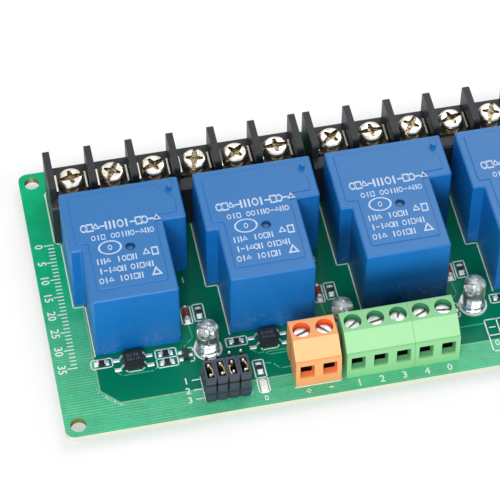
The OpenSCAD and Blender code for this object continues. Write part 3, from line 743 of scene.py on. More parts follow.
class Finishes:
    """The finishes of the board, by what they are on."""

    MASK = SolderMask("green_solder_mask", "board", (0.001, 0.195, 0.105))
    RUN = Moulded(
        "mask_over_copper", "board", (0.05, 0.44, 0.26), rough=0.2, grain=0.006, dust=0.02,
        shine=0.06,
    )
    LEGEND = Ink("white_legend", "board", (0.90, 0.95, 0.92), wear=0.12)
    SOLDER = Plated("soldered_joint", "solder", (0.72, 0.72, 0.70), rough=0.28, film_share=0.5)
    TIN = Plated("tinned_lead", "tinned", (0.93, 0.93, 0.91), rough=0.5, film_share=0.1)
    LAND = Plated("solder_land", "solder", (0.95, 0.95, 0.92), rough=0.62, film_share=0.05)
    RELAY = RelayMoulded(
        "blue_moulding", "relay_blue", (0.004, 0.155, 0.49), rough=0.36, grain=0.010, dust=0.04,
        shine=0.45,
    )
    # A copy with more painted shade low on the sides, for the relay behind the green terminals.
    SHADED_RELAY = replace(RELAY, name="shaded_blue_moulding", foot=1.0, foot_z=(19.5, 11.0))
    RELAY_PRINT = Ink(
        "relay_print", "relay_blue", (0.58, 0.69, 0.86), under=(0.03, 0.22, 0.55), wear=0.5,
    )
    BARRIER = Moulded("charcoal_moulding", "barrier_black", (0.022, 0.026, 0.032), rough=0.42)
    BRASS = Plated(
        "brass_contact", "brass", (0.80, 0.58, 0.24), film=(0.35, 0.24, 0.10), rough=0.24,
    )
    # low paints shade on the lower part of the plates.
    PLATE = Plated(
        "nickel_plate", "nickel", (0.86, 0.82, 0.72), film=(0.30, 0.25, 0.16), rough=0.2,
        marks=(1.0, 6.0, 1.0), low=12.9,
    )
    # recess paints shade in the driver recesses.
    BARRIER_SCREW = Plated(
        "nickel_screw", "nickel", (0.90, 0.87, 0.79), film=(0.30, 0.24, 0.15), rough=0.22,
        film_share=0.6, patch=0.9, recess=14.0,
    )
    TERMINAL_SCREW = Plated(
        "zinc_screw", "nickel", (0.60, 0.61, 0.61), film=(0.25, 0.25, 0.25), rough=0.3,
        film_share=0.5,
    )
    CAGE = Plated("steel_cage", "nickel", (0.20, 0.19, 0.17), rough=0.35)
    # deep is painted shade in the wells and entries, and pale a painted highlight on the sloping
    # fronts.
    ORANGE = HollowMoulded(
        "orange_moulding", "terminal_orange", (0.93, 0.40, 0.155), rough=0.42, dust=0.04,
        deep=(0.93, 0.12, 0.02), pale=(0.98, 0.62, 0.30), first=SUPPLY_X - POLE / 2,
    )
    GREEN = HollowMoulded(
        "green_moulding", "terminal_green", (0.27, 0.62, 0.29), rough=0.42, dust=0.04,
        deep=(0.04, 0.27, 0.11), pale=(0.42, 0.78, 0.42), seam=INPUT_X + POLE / 2,
    )
    LENS = Clear("lens_resin", "clear_lens", (0.97, 1.0, 1.0), passing=0.87, ior=1.45, gloss=1.0)
    LAMP_FRAME = Plated("silvered_frame", "tinned", (0.96, 0.96, 0.94), rough=0.5, film_share=0.05)
    DIODE = Clear("red_glass", "diode_glass", (0.75, 0.10, 0.05), passing=0.6, rough=0.06)
    CERAMIC = Moulded(
        "white_ceramic", "lamp_white", (0.86, 0.84, 0.78), rough=0.35, dust=0.0, coat=0.4,
    )
    BLACK = Moulded("black_moulding", "plastic_black", (0.022, 0.023, 0.026), rough=0.4, dust=0.06)
    # low paints shade on the pins below their tips.
    PIN = Plated("header_pin", "tinned", (0.93, 0.93, 0.91), rough=0.4, film_share=0.1, low=9.7)
    JUMPER = CollaredMoulded(
        "jumper_moulding", "plastic_black", (0.046, 0.062, 0.084), rough=0.38, dust=0.08,
    )
    PACKAGE_MARK = Ink(
        "package_mark", "plastic_black", (0.16, 0.16, 0.16), under=(0.03, 0.03, 0.03), wear=0.7,
    )


# ---- modelling ----


class Symbol(Enum):
    """Plain shapes that prints are made of."""

    RING = "o"
    BOX = "b"
    PEAK = "t"
    POST = "i"
    DASH = "-"
    CROSS = "+"
    TWIN = "="


def deselect() -> None:
    """Leaves nothing selected, as loading the frame leaves its nodes selected."""
    bpy.ops.object.select_all(action="DESELECT")


class Bench:
    """The workbench: masters are modelled once with operators, and copies go to their places."""

    def __init__(self) -> None:
        """Models the masters that prints, lands and runs are copied from."""
        self.bar = self.outline("bar_master", sides=4)
        self.hoop = self.outline("hoop_master", sides=20, inner=0.84)
        self.land = self.mound("land_master")
        self.symbols = {
            Symbol.RING: self.outline("ring_master", sides=14, inner=0.62),
            Symbol.BOX: self.outline("box_master", sides=4, inner=0.64),
            Symbol.PEAK: self.outline("peak_master", sides=3, inner=0.5),
        }
        self.numerals: dict[str, Piece] = {}

    @staticmethod
    def open_edit(selected: bool) -> None:
        """Fixes the active object's size and turn, and starts to edit it.

        Args:
            selected: whether all of it is selected, or nothing.
        """
        bpy.ops.object.transform_apply(location=True, rotation=True, scale=True)
        bpy.ops.object.mode_set(mode="EDIT")
        bpy.ops.mesh.select_all(action="SELECT" if selected else "DESELECT")

    @staticmethod
    def close_edit() -> None:
        """Turns all faces outwards and goes back to object mode."""
        bpy.ops.mesh.select_all(action="SELECT")
        bpy.ops.mesh.normals_make_consistent(inside=False)
        bpy.ops.object.mode_set(mode="OBJECT")

    def outline(self, name: str, sides: int, inner: float = 0.0) -> Piece:
        """A flat plate or hoop, one high, that fills a square of side 1.

        Args:
            name: the master's name.
            sides: corners of its outline.
            inner: the hole's share of the outline, 0 for none.

        Returns:
            The master, hidden from renders.
        """
        deselect()
        radius, turn = (math.sqrt(0.5), math.radians(45.0)) if sides == 4 else (0.5, 0.0)
        bpy.ops.mesh.primitive_circle_add(
            vertices=sides, radius=radius, fill_type="NGON", rotation=(0, 0, turn),
        )
        self.open_edit(selected=True)
        if inner > 0:
            bpy.ops.mesh.inset(thickness=radius * (1 - inner) * math.cos(math.pi / sides))
            bpy.ops.mesh.delete(type="FACE")
            bpy.ops.mesh.select_all(action="SELECT")
        bpy.ops.mesh.extrude_region_move(TRANSFORM_OT_translate={"value": (0, 0, 1)})
        self.close_edit()
        return self.put_away(name)

    def mound(self, name: str) -> Piece:
        """A low solder land with sloping sides and a rounded crown, 1 by 1 by 1.

        Args:
            name: the master's name.

        Returns:
            The master, hidden from renders.
        """
        crown, rounding = (0.62, 0.72, 1), 0.16
        deselect()
        bpy.ops.mesh.primitive_cube_add(size=1, location=(0, 0, 0.5))
        self.open_edit(selected=False)
        bpy.ops.object.mode_set(mode="OBJECT")
        for face in bpy.context.object.data.polygons:
            face.select = face.normal.z > 0.5
        bpy.ops.object.mode_set(mode="EDIT")
        bpy.ops.mesh.select_mode(type="FACE")
        bpy.ops.transform.resize(value=crown, center_override=(0, 0, 1))
        bpy.ops.mesh.bevel(offset=rounding, segments=2)
        self.close_edit()
        return self.put_away(name)

    @staticmethod
    def put_away(name: str) -> Piece:
        """Names the active object and hides it, to be copied from.

        Args:
            name: the master's name.

        Returns:
            The master.
        """
        made = bpy.context.object
        made.name = name
        made.hide_render = True
        return made

    def numeral(self, text: str) -> Piece:
        """A plain numeral, one high and centred, modelled once.

        Args:
            text: the digits.

        Returns:
            The master.
        """
        if text not in self.numerals:
            deselect()
            bpy.ops.object.text_add()
            letters = bpy.context.object.data
            letters.body = text
            letters.extrude = 0.5
            letters.offset = 0.012
            letters.resolution_u = 2
            bpy.ops.object.convert(target="MESH")
            mesh = bpy.context.object.data
            corners = [v.co.copy() for v in mesh.vertices]
            low = Vector(min(c[k] for c in corners) for k in range(3))
            high = Vector(max(c[k] for c in corners) for k in range(3))
            middle = (low + high) / 2
            tall, thick = high.y - low.y, high.z - low.z
            fit = Matrix.Diagonal((1 / tall, 1 / tall, 1 / thick, 1))
            mesh.transform(fit @ Matrix.Translation((-middle.x, -middle.y, -low.z)))
            self.numerals[text] = self.put_away("numeral_" + text)
        return self.numerals[text]

    @staticmethod
    def copy(master: Piece, at: Point, size: Size, base: float, turn: float = 0.0) -> Piece:
        """Copies a master to its place, with a mesh of its own.

        Args:
            master: what is copied.
            at: X and Y of its middle.
            size: its length, width and height.
            base: Z of its foot.
            turn: how far it is turned, in degrees.

        Returns:
            The copy, with its place in its mesh.
        """
        made = master.copy()
        made.data = master.data.copy()
        made.hide_render = False
        spot = Matrix.Translation(Vector((*at, base)) * MM)
        spin = Matrix.Rotation(math.radians(turn), 4, "Z")
        made.data.transform(spot @ spin @ Matrix.Diagonal((*(s * MM for s in size), 1)))
        bpy.context.scene.collection.objects.link(made)
        return made

    @staticmethod
    def gather(parts: Parts, name: str, finish: Finish, smooth: float = 0.0) -> None:
        """Joins parts to one piece, dresses it and lets it ride on the board.

        Args:
            parts: the copies to join.
            name: the piece's name.
            finish: what it is dressed in.
            smooth: the angle up to which edges are shaded smooth, in degrees.
        """
        deselect()
        for part in parts:
            part.select_set(True)
        bpy.context.view_layer.objects.active = parts[0]
        bpy.ops.object.join()
        made = bpy.context.object
        made.name = name
        if smooth:
            bpy.ops.object.shade_smooth_by_angle(angle=math.radians(smooth))
        finish.dress(made)
        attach(made, BODY)
        LOG.info("%s: %d faces", name, len(made.data.polygons))

    def clear(self) -> None:
        """Removes the masters once all copies are made."""
        plain = (self.bar, self.hoop, self.land)
        for master in (*plain, *self.symbols.values(), *self.numerals.values()):
            bpy.data.objects.remove(master)


@dataclass(frozen=True)
class Layer:
    """A thin layer on a flat face, such as ink.

    Args:
        bench: the workbench that its parts are copied on.
        base: Z of the face.
        high: how thick it is.
    """

    bench: Bench
    base: float = BOARD_TOP
    high: float = 0.02

    def lay(self, master: Piece, at: Point, wide: float, tall: float, turn: float = 0.0) -> Piece:
        """Lays a copy of a master; the arguments are those of Bench.copy."""
        return self.bench.copy(master, at, (wide, tall, self.high), self.base, turn)

    def line(self, points: Line, width: float = 0.27) -> Parts:
        """A line of straight runs.

        Args:
            points: its corners, in order.
            width: its width.

        Returns:
            One bar for each run.
        """
        made = []
        for (ax, ay), (bx, by) in zip(points, points[1:]):
            long = math.hypot(bx - ax, by - ay) + width
            turn = math.degrees(math.atan2(by - ay, bx - ax))
            made.append(self.lay(self.bench.bar, ((ax + bx) / 2, (ay + by) / 2), long, width, turn))
        return made

    def symbol(self, kind: Symbol, at: Point, tall: float) -> Parts:
        """One plain shape.

        Args:
            kind: which shape.
            at: X and Y of its middle.
            tall: its height on the face.

        Returns:
            Its parts.
        """
        wide, pen = tall * (PEAK_WIDE if kind is Symbol.PEAK else SHAPE_WIDE), tall * PEN
        if kind in self.bench.symbols:
            return [self.lay(self.bench.symbols[kind], at, wide, tall)]
        strokes = {
            Symbol.POST: [(0, pen, tall)],
            Symbol.DASH: [(0, wide * 0.8, pen)],
            Symbol.CROSS: [(0, wide, pen), (0, pen, wide)],
            Symbol.TWIN: [(-wide * 0.3, pen, tall), (wide * 0.3, pen, tall)],
        }
        x, y = at
        return [self.lay(self.bench.bar, (x + aside, y), w, t) for aside, w, t in strokes[kind]]

    def print_rows(self, rows: tuple[Row, ...], origin: Point) -> Parts:
        """Rows of plain shapes.

        Args:
            rows: the rows; each mark is a letter of Symbol or a blank.
            origin: the place that their starts are given from.

        Returns:
            All their parts.
        """
        made = []
        for marks, (x, y), step, tall in rows:
            for k, mark in enumerate(marks):
                if mark != " ":
                    at = (origin[0] + x + k * step, origin[1] + y)
                    made += self.symbol(Symbol(mark), at, tall)
        return made

    def figure(self, text: str, at: Point, tall: float, turn: float = 0.0) -> Piece:
        """A numeral; at is its middle, and turn is in degrees."""
        return self.lay(self.bench.numeral(text), at, tall, tall, turn)


def box(left: float, front: float, right: float, rear: float) -> Line:
    """The closed outline of a box."""
    return [(left, front), (left, rear), (right, rear), (right, front), (left, front)]


def dress_nodes(finishes: dict[str, Finish], start: str = "", end: str = "") -> None:
    """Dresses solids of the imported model.

    Args:
        finishes: the finish of each node, by the part of its name that differs.
        start: what the names begin with.
        end: what they end with.
    """
    for part, finish in finishes.items():
        name = start + part + end
        finish.dress(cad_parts[name])
        LOG.info("%s: %s", name, finish.name)


# ---- sub-assemblies ----


@dataclass
class Channel:
    """The small parts of one channel, placed from its relay's centre line.

    Args:
        bench: the workbench.
        number: the channel, from 1.
        pitch: distance between neighbouring channels.
        lamp: middle of the lamp.
        lamp_ring: length and width of the ring printed round it.
        opto: middle of the optocoupler.
        opto_reach: X and Y of its lands from that.
        opto_land: size of each.
        opto_rows: the rows of shapes on its body, from its middle.
        resistors: middles of the resistors that lie along X.
        lamp_resistor: middle of the one that lies along Y.
        chip_reach: distance of a resistor's lands from its middle.
        transistor: middle of the transistor.
        transistor_reach: X and Y of its lands from that.
        transistor_land: size of each.
        diode: middle of the diode.
        diode_reach: distance of its lands from that.
        diode_land: size of each.
        figure: middle of the channel's printed number.
        figure_tall: its height.
        run_wide: width of a copper run.
    """

    bench: Bench
    number: int
    pitch: float = PITCH
    lamp: Point = (13.65, -20.2)
    lamp_ring: Point = (6.5, 6.5)
    opto: Point = (-3.1, -20.6)
    opto_reach: Point = (3.65, 1.27)
    opto_land: Size = (1.5, 0.95, 0.14)
    opto_rows: tuple[Row, ...] = (
        ("bio=", (-1.2, 0.5), 0.7, 0.75),
        ("o=tib", (-1.2, -0.6), 0.6, 0.6),
    )
    resistors: tuple[Point, ...] = ((-10.05, -19.5), (4.2, -19.6), (4.2, -22.0))
    lamp_resistor: Point = (13.5, -10.1)
    chip_reach: float = 1.2
    transistor: Point = (8.5, -21.0)
    transistor_reach: Point = (1.15, 0.95)
    transistor_land: Size = (0.9, 0.8, 0.14)
    diode: Point = (10.6, -10.3)
    diode_reach: float = 1.75
    diode_land: Size = (1.5, 1.25, 0.4)
    figure: Point = (11.7, -0.4)
    figure_tall: float = 1.5
    run_wide: float = 0.32

    @property
    def x(self) -> float:
        """X of the relay's centre line."""
        return (self.number - 0.5 - CHANNELS / 2) * self.pitch

    def on(self, *points: Point) -> Line:
        """Points given from the relay's centre line, on the board."""
        return [(self.x + x, y) for x, y in points]

    def outlines(self) -> list[Line]:
        """The lines printed round the parts of this channel, from the relay's centre line.

        Returns:
            The corners of each line.
        """
        return [
            [(-13.75, 15.2), (-13.75, -3.3), (-11.15, -3.3), (-11.15, -17.3)],
            [(1.95, -20.8), (6.6, -20.8)],
            [(-5.0, -22.4), (-4.6, -22.95), (-1.4, -22.95), (-1.0, -22.4)],
            box(-12.4, -20.75, -7.7, -18.4),
            box(1.95, -23.2, 6.6, -18.4),
            box(12.3, -12.35, 14.75, -7.7),
            [(9.4, -19.1), (10.25, -19.1), (10.25, -19.9)],
            [(10.25, -21.9), (10.25, -22.8), (9.4, -22.8)],
            [(9.45, -8.0), (9.45, -12.7), (11.75, -12.7), (11.75, -8.0)],
        ]

    def print_legend(self) -> Parts:
        """Prints the boxes, the lamp's ring and the channel's number.

        Returns:
            The printed parts.
        """
        ink = Layer(self.bench)
        made = [bar for line in self.outlines() for bar in ink.line(self.on(*line))]
        made.append(ink.lay(self.bench.hoop, *self.on(self.lamp), *self.lamp_ring))
        made.append(ink.figure(str(self.number), *self.on(self.figure), self.figure_tall))
        return made

    def solder_lands(self) -> Parts:
        """Lands and fillets under the leads of the small parts.

        Returns:
            The lands.
        """
        spots = []
        for side in SIDES:
            away = side * self.chip_reach
            spots += [((x + away, y), CHIP_LAND_X) for x, y in self.resistors]
            x, y = self.lamp_resistor
            spots.append(((x, y + away), CHIP_LAND_Y))
            (x, y), (dx, dy) = self.opto, self.opto_reach
            spots += [((x + side * dx, y + half * dy), self.opto_land) for half in SIDES]
            x, y = self.diode
            spots.append(((x, y + side * self.diode_reach), self.diode_land))
        (x, y), (dx, dy) = self.transistor, self.transistor_reach
        legs = ((x - dx, y - dy), (x - dx, y + dy), (x + dx, y))
        spots += [(leg, self.transistor_land) for leg in legs]
        land = self.bench.land
        return [self.bench.copy(land, *self.on(at), size, BOARD_TOP) for at, size in spots]

    def copper_runs(self) -> Parts:
        """Runs of copper that stand up under the mask.

        Returns:
            The runs' bars.
        """
        runs = [
            [(10.6, -13.0), (10.9, -16.6), (9.2, -17.95), (8.0, -19.6)],
            [(16.6, -21.4), (15.2, -23.4), (12.6, -23.4), (10.4, -21.2)],
            [(-7.4, -22.0), (-6.1, -23.6), (1.2, -23.6), (2.4, -22.2)],
        ]
        copper = Layer(self.bench, high=COPPER)
        return [bar for run in runs for bar in copper.line(self.on(*run), self.run_wide)]

    def dress(self) -> None:
        """Dresses the lamp and the optocoupler, and prints the optocoupler's marks."""
        end = f"_{self.number}"
        dress_nodes({
            "lamp_lens": Finishes.LENS, "lamp_leads": Finishes.LAMP_FRAME,
            "opto_body": Finishes.BLACK, "opto_leads": Finishes.TIN,
        }, end=end)
        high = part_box("opto_body" + end)[1]
        ink = Layer(self.bench, high.z / MM, 0.01)
        marks = ink.print_rows(self.opto_rows, *self.on(self.opto))
        self.bench.gather(marks, "opto_marks" + end, Finishes.PACKAGE_MARK)


@dataclass
class Relay:
    """One sealed relay and the plain shapes printed on its top.

    Args:
        channel: the channel that it switches.
        rear: Y of its rear face.
        badge: middle of the oval badge, from its rear face.
        badge_size: the badge's length and width.
        badge_ring: height of the ring inside it.
        peak: middle of the triangle, from its rear face.
        peak_tall: the triangle's height.
        rows: the rows of shapes, from its rear face.
    """

    channel: Channel
    rear: float = 14.0
    badge: Point = (-4.55, -17.4)
    badge_size: Point = (5.3, 3.9)
    badge_ring: float = 1.5
    peak: Point = (4.3, -26.0)
    peak_tall: float = 3.2
    rows: tuple[Row, ...] = (
        ("obt-=ioi-bo-t", (-9.4, -11.2), 1.36, 2.3),
        ("oib ooi=o-t=o", (-7.7, -14.25), 1.08, 1.5),
        ("i=t iob=", (-7.8, -20.9), 1.16, 1.6),
        ("i-ito= oibt=", (-7.5, -23.55), 1.0, 1.6),
        ("oit ioib=", (-7.8, -26.2), 1.08, 1.6),
        ("tb", (3.0, -20.2), 1.9, 2.3),
    )

    def on(self, point: Point) -> Point:
        """A point given from the middle of the rear face, on the board."""
        return (self.channel.x + point[0], self.rear + point[1])

    def dress(self) -> None:
        """Dresses the case and prints its top."""
        number, bench = self.channel.number, self.channel.bench
        # The relay behind the green terminals gets more painted shade.
        shaded = number == BEHIND_TERMINALS
        dress_nodes({f"relay_case_{number}": Finishes.SHADED_RELAY if shaded else Finishes.RELAY})
        ink = Layer(bench, RELAY_TOP, 0.015)
        made = ink.print_rows(self.rows, self.on((0.0, 0.0)))
        made.append(ink.lay(bench.hoop, self.on(self.badge), *self.badge_size))
        made += ink.symbol(Symbol.RING, self.on(self.badge), self.badge_ring)
        made += ink.symbol(Symbol.PEAK, self.on(self.peak), self.peak_tall)
        bench.gather(made, f"relay_print_{number}", Finishes.RELAY_PRINT)


@dataclass
class Board:
    """The board itself with its legend, lands and copper runs.

    Args:
        bench: the workbench.
        channels: the channels that stand on it.
        supply_x: X between the supply terminal's poles.
        input_x: X of the middle pole of the inputs.
        pole: distance between neighbouring poles.
        signs_y: Y of the signs before the supply terminal and the power lamp.
        signs_tall: height of the supply terminal's.
        digits_y: Y of the numerals before the inputs.
        digits_tall: their height.
        rows_x: X of the numerals beside the header.
        rows_tall: their height.
        rows_y: Y of the header's rows.
        lamp_x: X of the power lamp and its resistor.
        lamp_chip_y: Y of the resistor's lands.
        lamp_y: Y of the power lamp's lands.
        lamp_land: size of each.
        lamp_mark: height of the ring printed before it.
        rule: X of the printed rule's edge, and Y of its first tick.
        ticks: how many ticks it has.
        tick: length of its marked ticks and of the others.
        tick_figure: distance of the numerals from its edge, and their height.
        table: left and rear edge of the small table.
        cell: length and width of its cells.
        cell_tall: height of what is printed in them.
        columns: how many columns it has.
        run_wide: width of a copper run.
    """

    bench: Bench
    channels: list[Channel]
    supply_x: float = SUPPLY_X
    input_x: float = INPUT_X
    pole: float = POLE
    signs_y: float = -35.7
    signs_tall: float = 1.7
    digits_y: float = -35.75
    digits_tall: float = 1.75
    rows_x: float = -38.1
    rows_tall: float = 1.65
    rows_y: tuple[float, ...] = (-27.9, -30.5, -33.0)
    lamp_x: float = -21.65
    lamp_chip_y: Point = (-26.5, -28.9)
    lamp_y: Point = (-30.95, -33.85)
    lamp_land: Size = (1.5, 0.75, 0.25)
    lamp_mark: float = 1.3
    rule: Point = (-60.9, 15.5)
    ticks: int = 36
    tick: Point = (2.0, 1.15)
    tick_figure: Point = (3.3, 1.9)
    table: Point = (30.1, -25.0)
    cell: Point = (2.75, 4.3)
    cell_tall: float = 1.5
    columns: int = 6
    run_wide: float = 0.35

    def legend_lines(self) -> list[Line]:
        """Lines of the legend that belong to no channel.

        Returns:
            The corners of each line.
        """
        left, right = self.lamp_x - 1.2, self.lamp_x + 1.2
        return [
            [(-59.2, 15.2), (-60.5, 16.2), (-60.5, 31.0), (-1.0, 31.0)],
            [(-34.8, -27.4), (-34.8, -34.15), (-24.5, -34.15), (-24.5, -33.4)],
            box(left, -34.2, right, -25.4),
            [(left, -30.2), (right, -30.2)],
            [(-14.95, -34.4), (-4.5, -34.4), (-4.5, -33.9)],
            *([(x, -34.15), (x, -33.6)] for x in (-32.25, -29.7, -27.15)),
            *([(-36.7, y), (-35.2, y)] for y in self.rows_y),
        ]

    def table_lines(self) -> list[Line]:
        """A small ruled table of two rows, at the right of the inputs.

        Returns:
            The corners of each line.
        """
        (left, rear), (wide, deep) = self.table, self.cell
        right, front = left + self.columns * wide, rear - 2 * deep
        columns = [left + k * wide for k in range(self.columns + 1)]
        rows = [rear - k * deep for k in range(3)]
        return [[(x, rear), (x, front)] for x in columns] + [[(left, y), (right, y)] for y in rows]

    def ruler(self, ink: Layer) -> Parts:
        """A printed rule along the left edge, in place of words.

        Args:
            ink: the legend's ink.

        Returns:
            Its ticks and numerals.
        """
        made = []
        aside, tall = self.tick_figure
        for k in range(self.ticks):
            marked = k % 5 == 0
            x, y = self.rule[0], self.rule[1] - k
            made += ink.line([(x - self.tick[0 if marked else 1], y), (x, y)])
            if marked:
                made.append(ink.figure(str(k), (x - aside, y), tall, SIDEWAYS))
        return made

    def numbers(self, ink: Layer) -> Parts:
        """Numerals and signs at the terminals, the jumper field and the table.

        Args:
            ink: the legend's ink.

        Returns:
            The printed parts.
        """
        made = []
        for k, kind in enumerate((Symbol.CROSS, Symbol.DASH)):
            at = (self.supply_x + (k - 0.5) * self.pole, self.signs_y)
            made += ink.symbol(kind, at, self.signs_tall)
        for k, text in enumerate("12340"):
            at = (self.input_x + (k - 2) * self.pole, self.digits_y)
            made.append(ink.figure(text, at, self.digits_tall))
        for k, y in enumerate(self.rows_y):
            made.append(ink.figure(str(k + 1), (self.rows_x, y), self.rows_tall))
        made += ink.symbol(Symbol.RING, (self.lamp_x, self.signs_y), self.lamp_mark)
        (left, rear), (wide, deep) = self.table, self.cell
        for k in range(self.columns):
            x = left + (k + 0.5) * wide
            made.append(ink.figure(str(k + 1), (x, rear - deep / 2), self.cell_tall, SIDEWAYS))
            made += ink.symbol(Symbol.RING, (x, rear - deep * 1.5), self.cell_tall)
        return made

    def print_legend(self) -> None:
        """Prints the whole legend as one piece."""
        ink = Layer(self.bench)
        made = self.ruler(ink) + self.numbers(ink)
        for line in self.legend_lines() + self.table_lines():
            made += ink.line(line)
        for channel in self.channels:
            made += channel.print_legend()
        self.bench.gather(made, "board_legend", Finishes.LEGEND)

    def lay_lands(self) -> None:
        """Lays the solder lands as one piece."""
        made = [land for channel in self.channels for land in channel.solder_lands()]
        for places, size in ((self.lamp_chip_y, CHIP_LAND_Y), (self.lamp_y, self.lamp_land)):
            for y in places:
                made.append(self.bench.copy(self.bench.land, (self.lamp_x, y), size, BOARD_TOP))
        self.bench.gather(made, "solder_lands", Finishes.LAND, smooth=50.0)

    def lay_runs(self) -> None:
        """Lays the copper runs as one piece."""
        copper = Layer(self.bench, high=COPPER)
        made = []
        for run in (
            [(-20.2, -22.7), (-18.8, -24.4), (-14.9, -24.4)],
            [(-20.2, -26.5), (-18.5, -26.8), (-17.1, -28.5), (-14.9, -28.5)],
            [(-20.4, -33.3), (-14.9, -33.3)],
            [(22.2, -25.8), (30.0, -25.8)],
            [(-34.6, -34.7), (-24.0, -34.7)],
            [(47.0, -28.2), (54.0, -28.2), (57.4, -24.8), (57.4, -19.0)],
        ):
            made += copper.line(run, self.run_wide)
        for channel in self.channels:
            made += channel.copper_runs()
        self.bench.gather(made, "copper_runs", Finishes.RUN)

    def dress(self) -> None:
        """Dresses the board and its solder, and adds what is on it."""
        dress_nodes({
            "pcb": Finishes.MASK, "power_lamp": Finishes.CERAMIC, "relay_pins": Finishes.TIN,
            "solder_power": Finishes.SOLDER, "solder_signal": Finishes.SOLDER,
            "transistor_bodies": Finishes.BLACK, "transistor_leads": Finishes.TIN,
            "resistor_bodies": Finishes.BLACK, "resistor_ends": Finishes.TIN,
            "diode_glass": Finishes.DIODE, "diode_caps": Finishes.TIN,
        })
        self.print_legend()
        self.lay_lands()
        self.lay_runs()


@dataclass
class BarrierBlock:
    """One barrier terminal block.

    Args:
        number: 1 for the left block, 2 for the right one.
    """

    number: int

    def dress(self) -> None:
        """Dresses its housing, straps, plates and screws."""
        dress_nodes({
            "housing": Finishes.BARRIER, "contacts": Finishes.BRASS,
            "plates": Finishes.PLATE, "screws": Finishes.BARRIER_SCREW,
        }, "barrier_", f"_{self.number}")


@dataclass
class ScrewTerminal:
    """One moulded screw terminal.

    Args:
        name: the start of its nodes' names.
        plastic: the finish of its housing.
    """

    name: str
    plastic: Finish

    def dress(self) -> None:
        """Dresses its housing, cages, screws and pins."""
        dress_nodes({
            "housing": self.plastic, "cages": Finishes.CAGE,
            "screws": Finishes.TERMINAL_SCREW, "pins": Finishes.TIN,
        }, self.name + "_")


@dataclass
class JumperField:
    """The header and its jumper caps.

    Args:
        caps: how many caps it has.
    """

    caps: int = 4

    def dress(self) -> None:
        """Dresses the header, the caps and their clips."""
        dress_nodes({
            "header_insulator": Finishes.JUMPER, "header_pins": Finishes.PIN,
            "jumper_clips": Finishes.BRASS,
        })
        dress_nodes({str(k + 1): Finishes.JUMPER for k in range(self.caps)}, "jumper_cap_")


# ---- studio ----


@dataclass(frozen=True)
class Lamp:
    """One soft lamp that points at the board's middle.

    Args:
        name: its name.
        at: where it stands, in metres from the middle of the board.
        side: length of its square side, in metres.
        power: its power in watts.
    """

    name: str
    at: Size
    side: float
    power: float

    def stand(self) -> None:
        """Puts the lamp in the scene."""
        light = bpy.data.lights.new(self.name, "AREA")
        light.size = self.side
        light.energy = self.power
        made = bpy.data.objects.new(self.name, light)
        made.location = self.at
        made.rotation_euler = (-Vector(self.at)).to_track_quat("-Z", "Y").to_euler()
        bpy.context.scene.collection.objects.link(made)


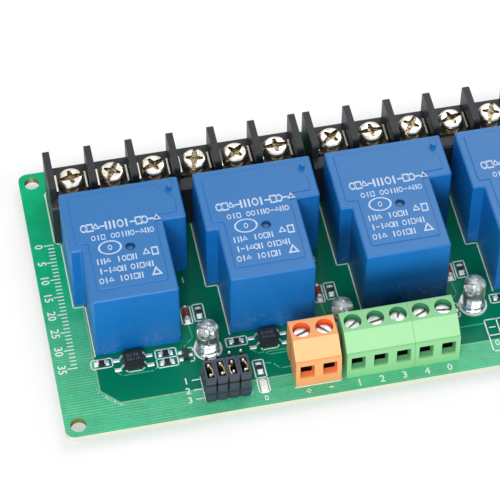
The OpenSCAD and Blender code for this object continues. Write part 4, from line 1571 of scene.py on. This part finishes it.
@dataclass
class Studio:
    """Floor, lamps, sky and camera.

    Args:
        eye: where the camera stands, in metres.
        sight: the direction that it looks in.
        lens: its focal length in millimetres.
        sky: strength of the pale sky.
        floor_side: side of the floor, in metres.
        floor_tints: the two colours that it varies between.
        floor_glow: the floor's own white to the eye under the board, from 0 to 1.
        shadow_reach: distances from the board's edges over which that white grows, in millimetres.
        lamps: the lamps that light the board.
    """

    eye: Size = (-0.0841, -0.32135, 0.4293)
    sight: Size = (0.1237, 0.6020, -0.7889)
    lens: float = 170.9
    sky: float = 0.5
    floor_side: float = 8.0
    floor_tints: tuple[Colour, Colour] = ((0.93, 0.93, 0.93), (0.95, 0.95, 0.95))
    floor_glow: float = 0.45
    shadow_reach: Point = (0.0, 8.0)
    lamps: tuple[Lamp, ...] = (
        Lamp("key", (-0.32, -0.80, 0.62), 0.55, 7.6),
        Lamp("rear_softbox", (0.33, 0.45, 0.85), 0.5, 2.0),
    )

    def lay_floor(self) -> None:
        """A wide pale floor that keeps the board's shadow."""
        deselect()
        bpy.ops.mesh.primitive_plane_add(size=self.floor_side, location=(0, 0, bounds[0][2]))
        bpy.ops.object.transform_apply(location=True, rotation=True, scale=True)
        floor = bpy.context.object
        floor.name = "floor"
        recipe = Recipe("pale_floor")
        pale = recipe.blend(recipe.cloud(0.004), *self.floor_tints)
        matt = recipe.wire("ShaderNodeBsdfDiffuse", {}, {0: pale})
        glow = recipe.wire("ShaderNodeEmission", {}, {0: WHITE, 1: 1.0})
        beside, before = (recipe.larger(past, 0.0) for past in recipe.past_edges())
        away = recipe.maths("SQRT", beside * beside + before * before)
        clear = recipe.step(away, *self.shadow_reach)
        white = recipe.seen() * (self.floor_glow + clear * (1.0 - self.floor_glow))
        both = recipe.wire("ShaderNodeMixShader", {}, {0: white, 1: matt, 2: glow})
        floor.data.materials.append(recipe.put_out(both))

    def hang_sky(self) -> None:
        """A sky that is white to the eye, in metal and through glass, and paler as light."""
        world = bpy.data.worlds.new("sky")
        world.use_nodes = True
        nodes = Nodes(world.node_tree)
        strength = nodes.seen() * (1.0 - self.sky) + self.sky
        light = nodes.wire("ShaderNodeBackground", {}, {"Color": WHITE, "Strength": strength})
        nodes.node("ShaderNodeOutputWorld", {}, {0: light})
        bpy.context.scene.world = world

    def set_camera(self) -> None:
        """Stands the camera at its place."""
        camera = bpy.data.cameras.new("camera")
        camera.lens = self.lens
        camera.sensor_width = 36.0
        made = bpy.data.objects.new("camera", camera)
        made.location = self.eye
        made.rotation_euler = Vector(self.sight).to_track_quat("-Z", "Y").to_euler()
        bpy.context.scene.collection.objects.link(made)
        bpy.context.scene.camera = made

    def build(self) -> None:
        """Builds the whole studio."""
        self.set_camera()
        self.lay_floor()
        self.hang_sky()
        for lamp in self.lamps:
            lamp.stand()
        bpy.context.scene.view_settings.view_transform = "Standard"


def main() -> None:
    logging.basicConfig(level=logging.INFO, format="%(message)s")
    Studio().build()
    bench = Bench()
    channels = [Channel(bench, k + 1) for k in range(CHANNELS)]
    Board(bench, channels).dress()
    for channel in channels:
        channel.dress()
        Relay(channel).dress()
    for number in (1, 2):
        BarrierBlock(number).dress()
    ScrewTerminal("supply", Finishes.ORANGE).dress()
    ScrewTerminal("input_a", Finishes.GREEN).dress()
    ScrewTerminal("input_b", Finishes.GREEN).dress()
    JumperField().dress()
    bench.clear()


if __name__ == "__main__":
    main()
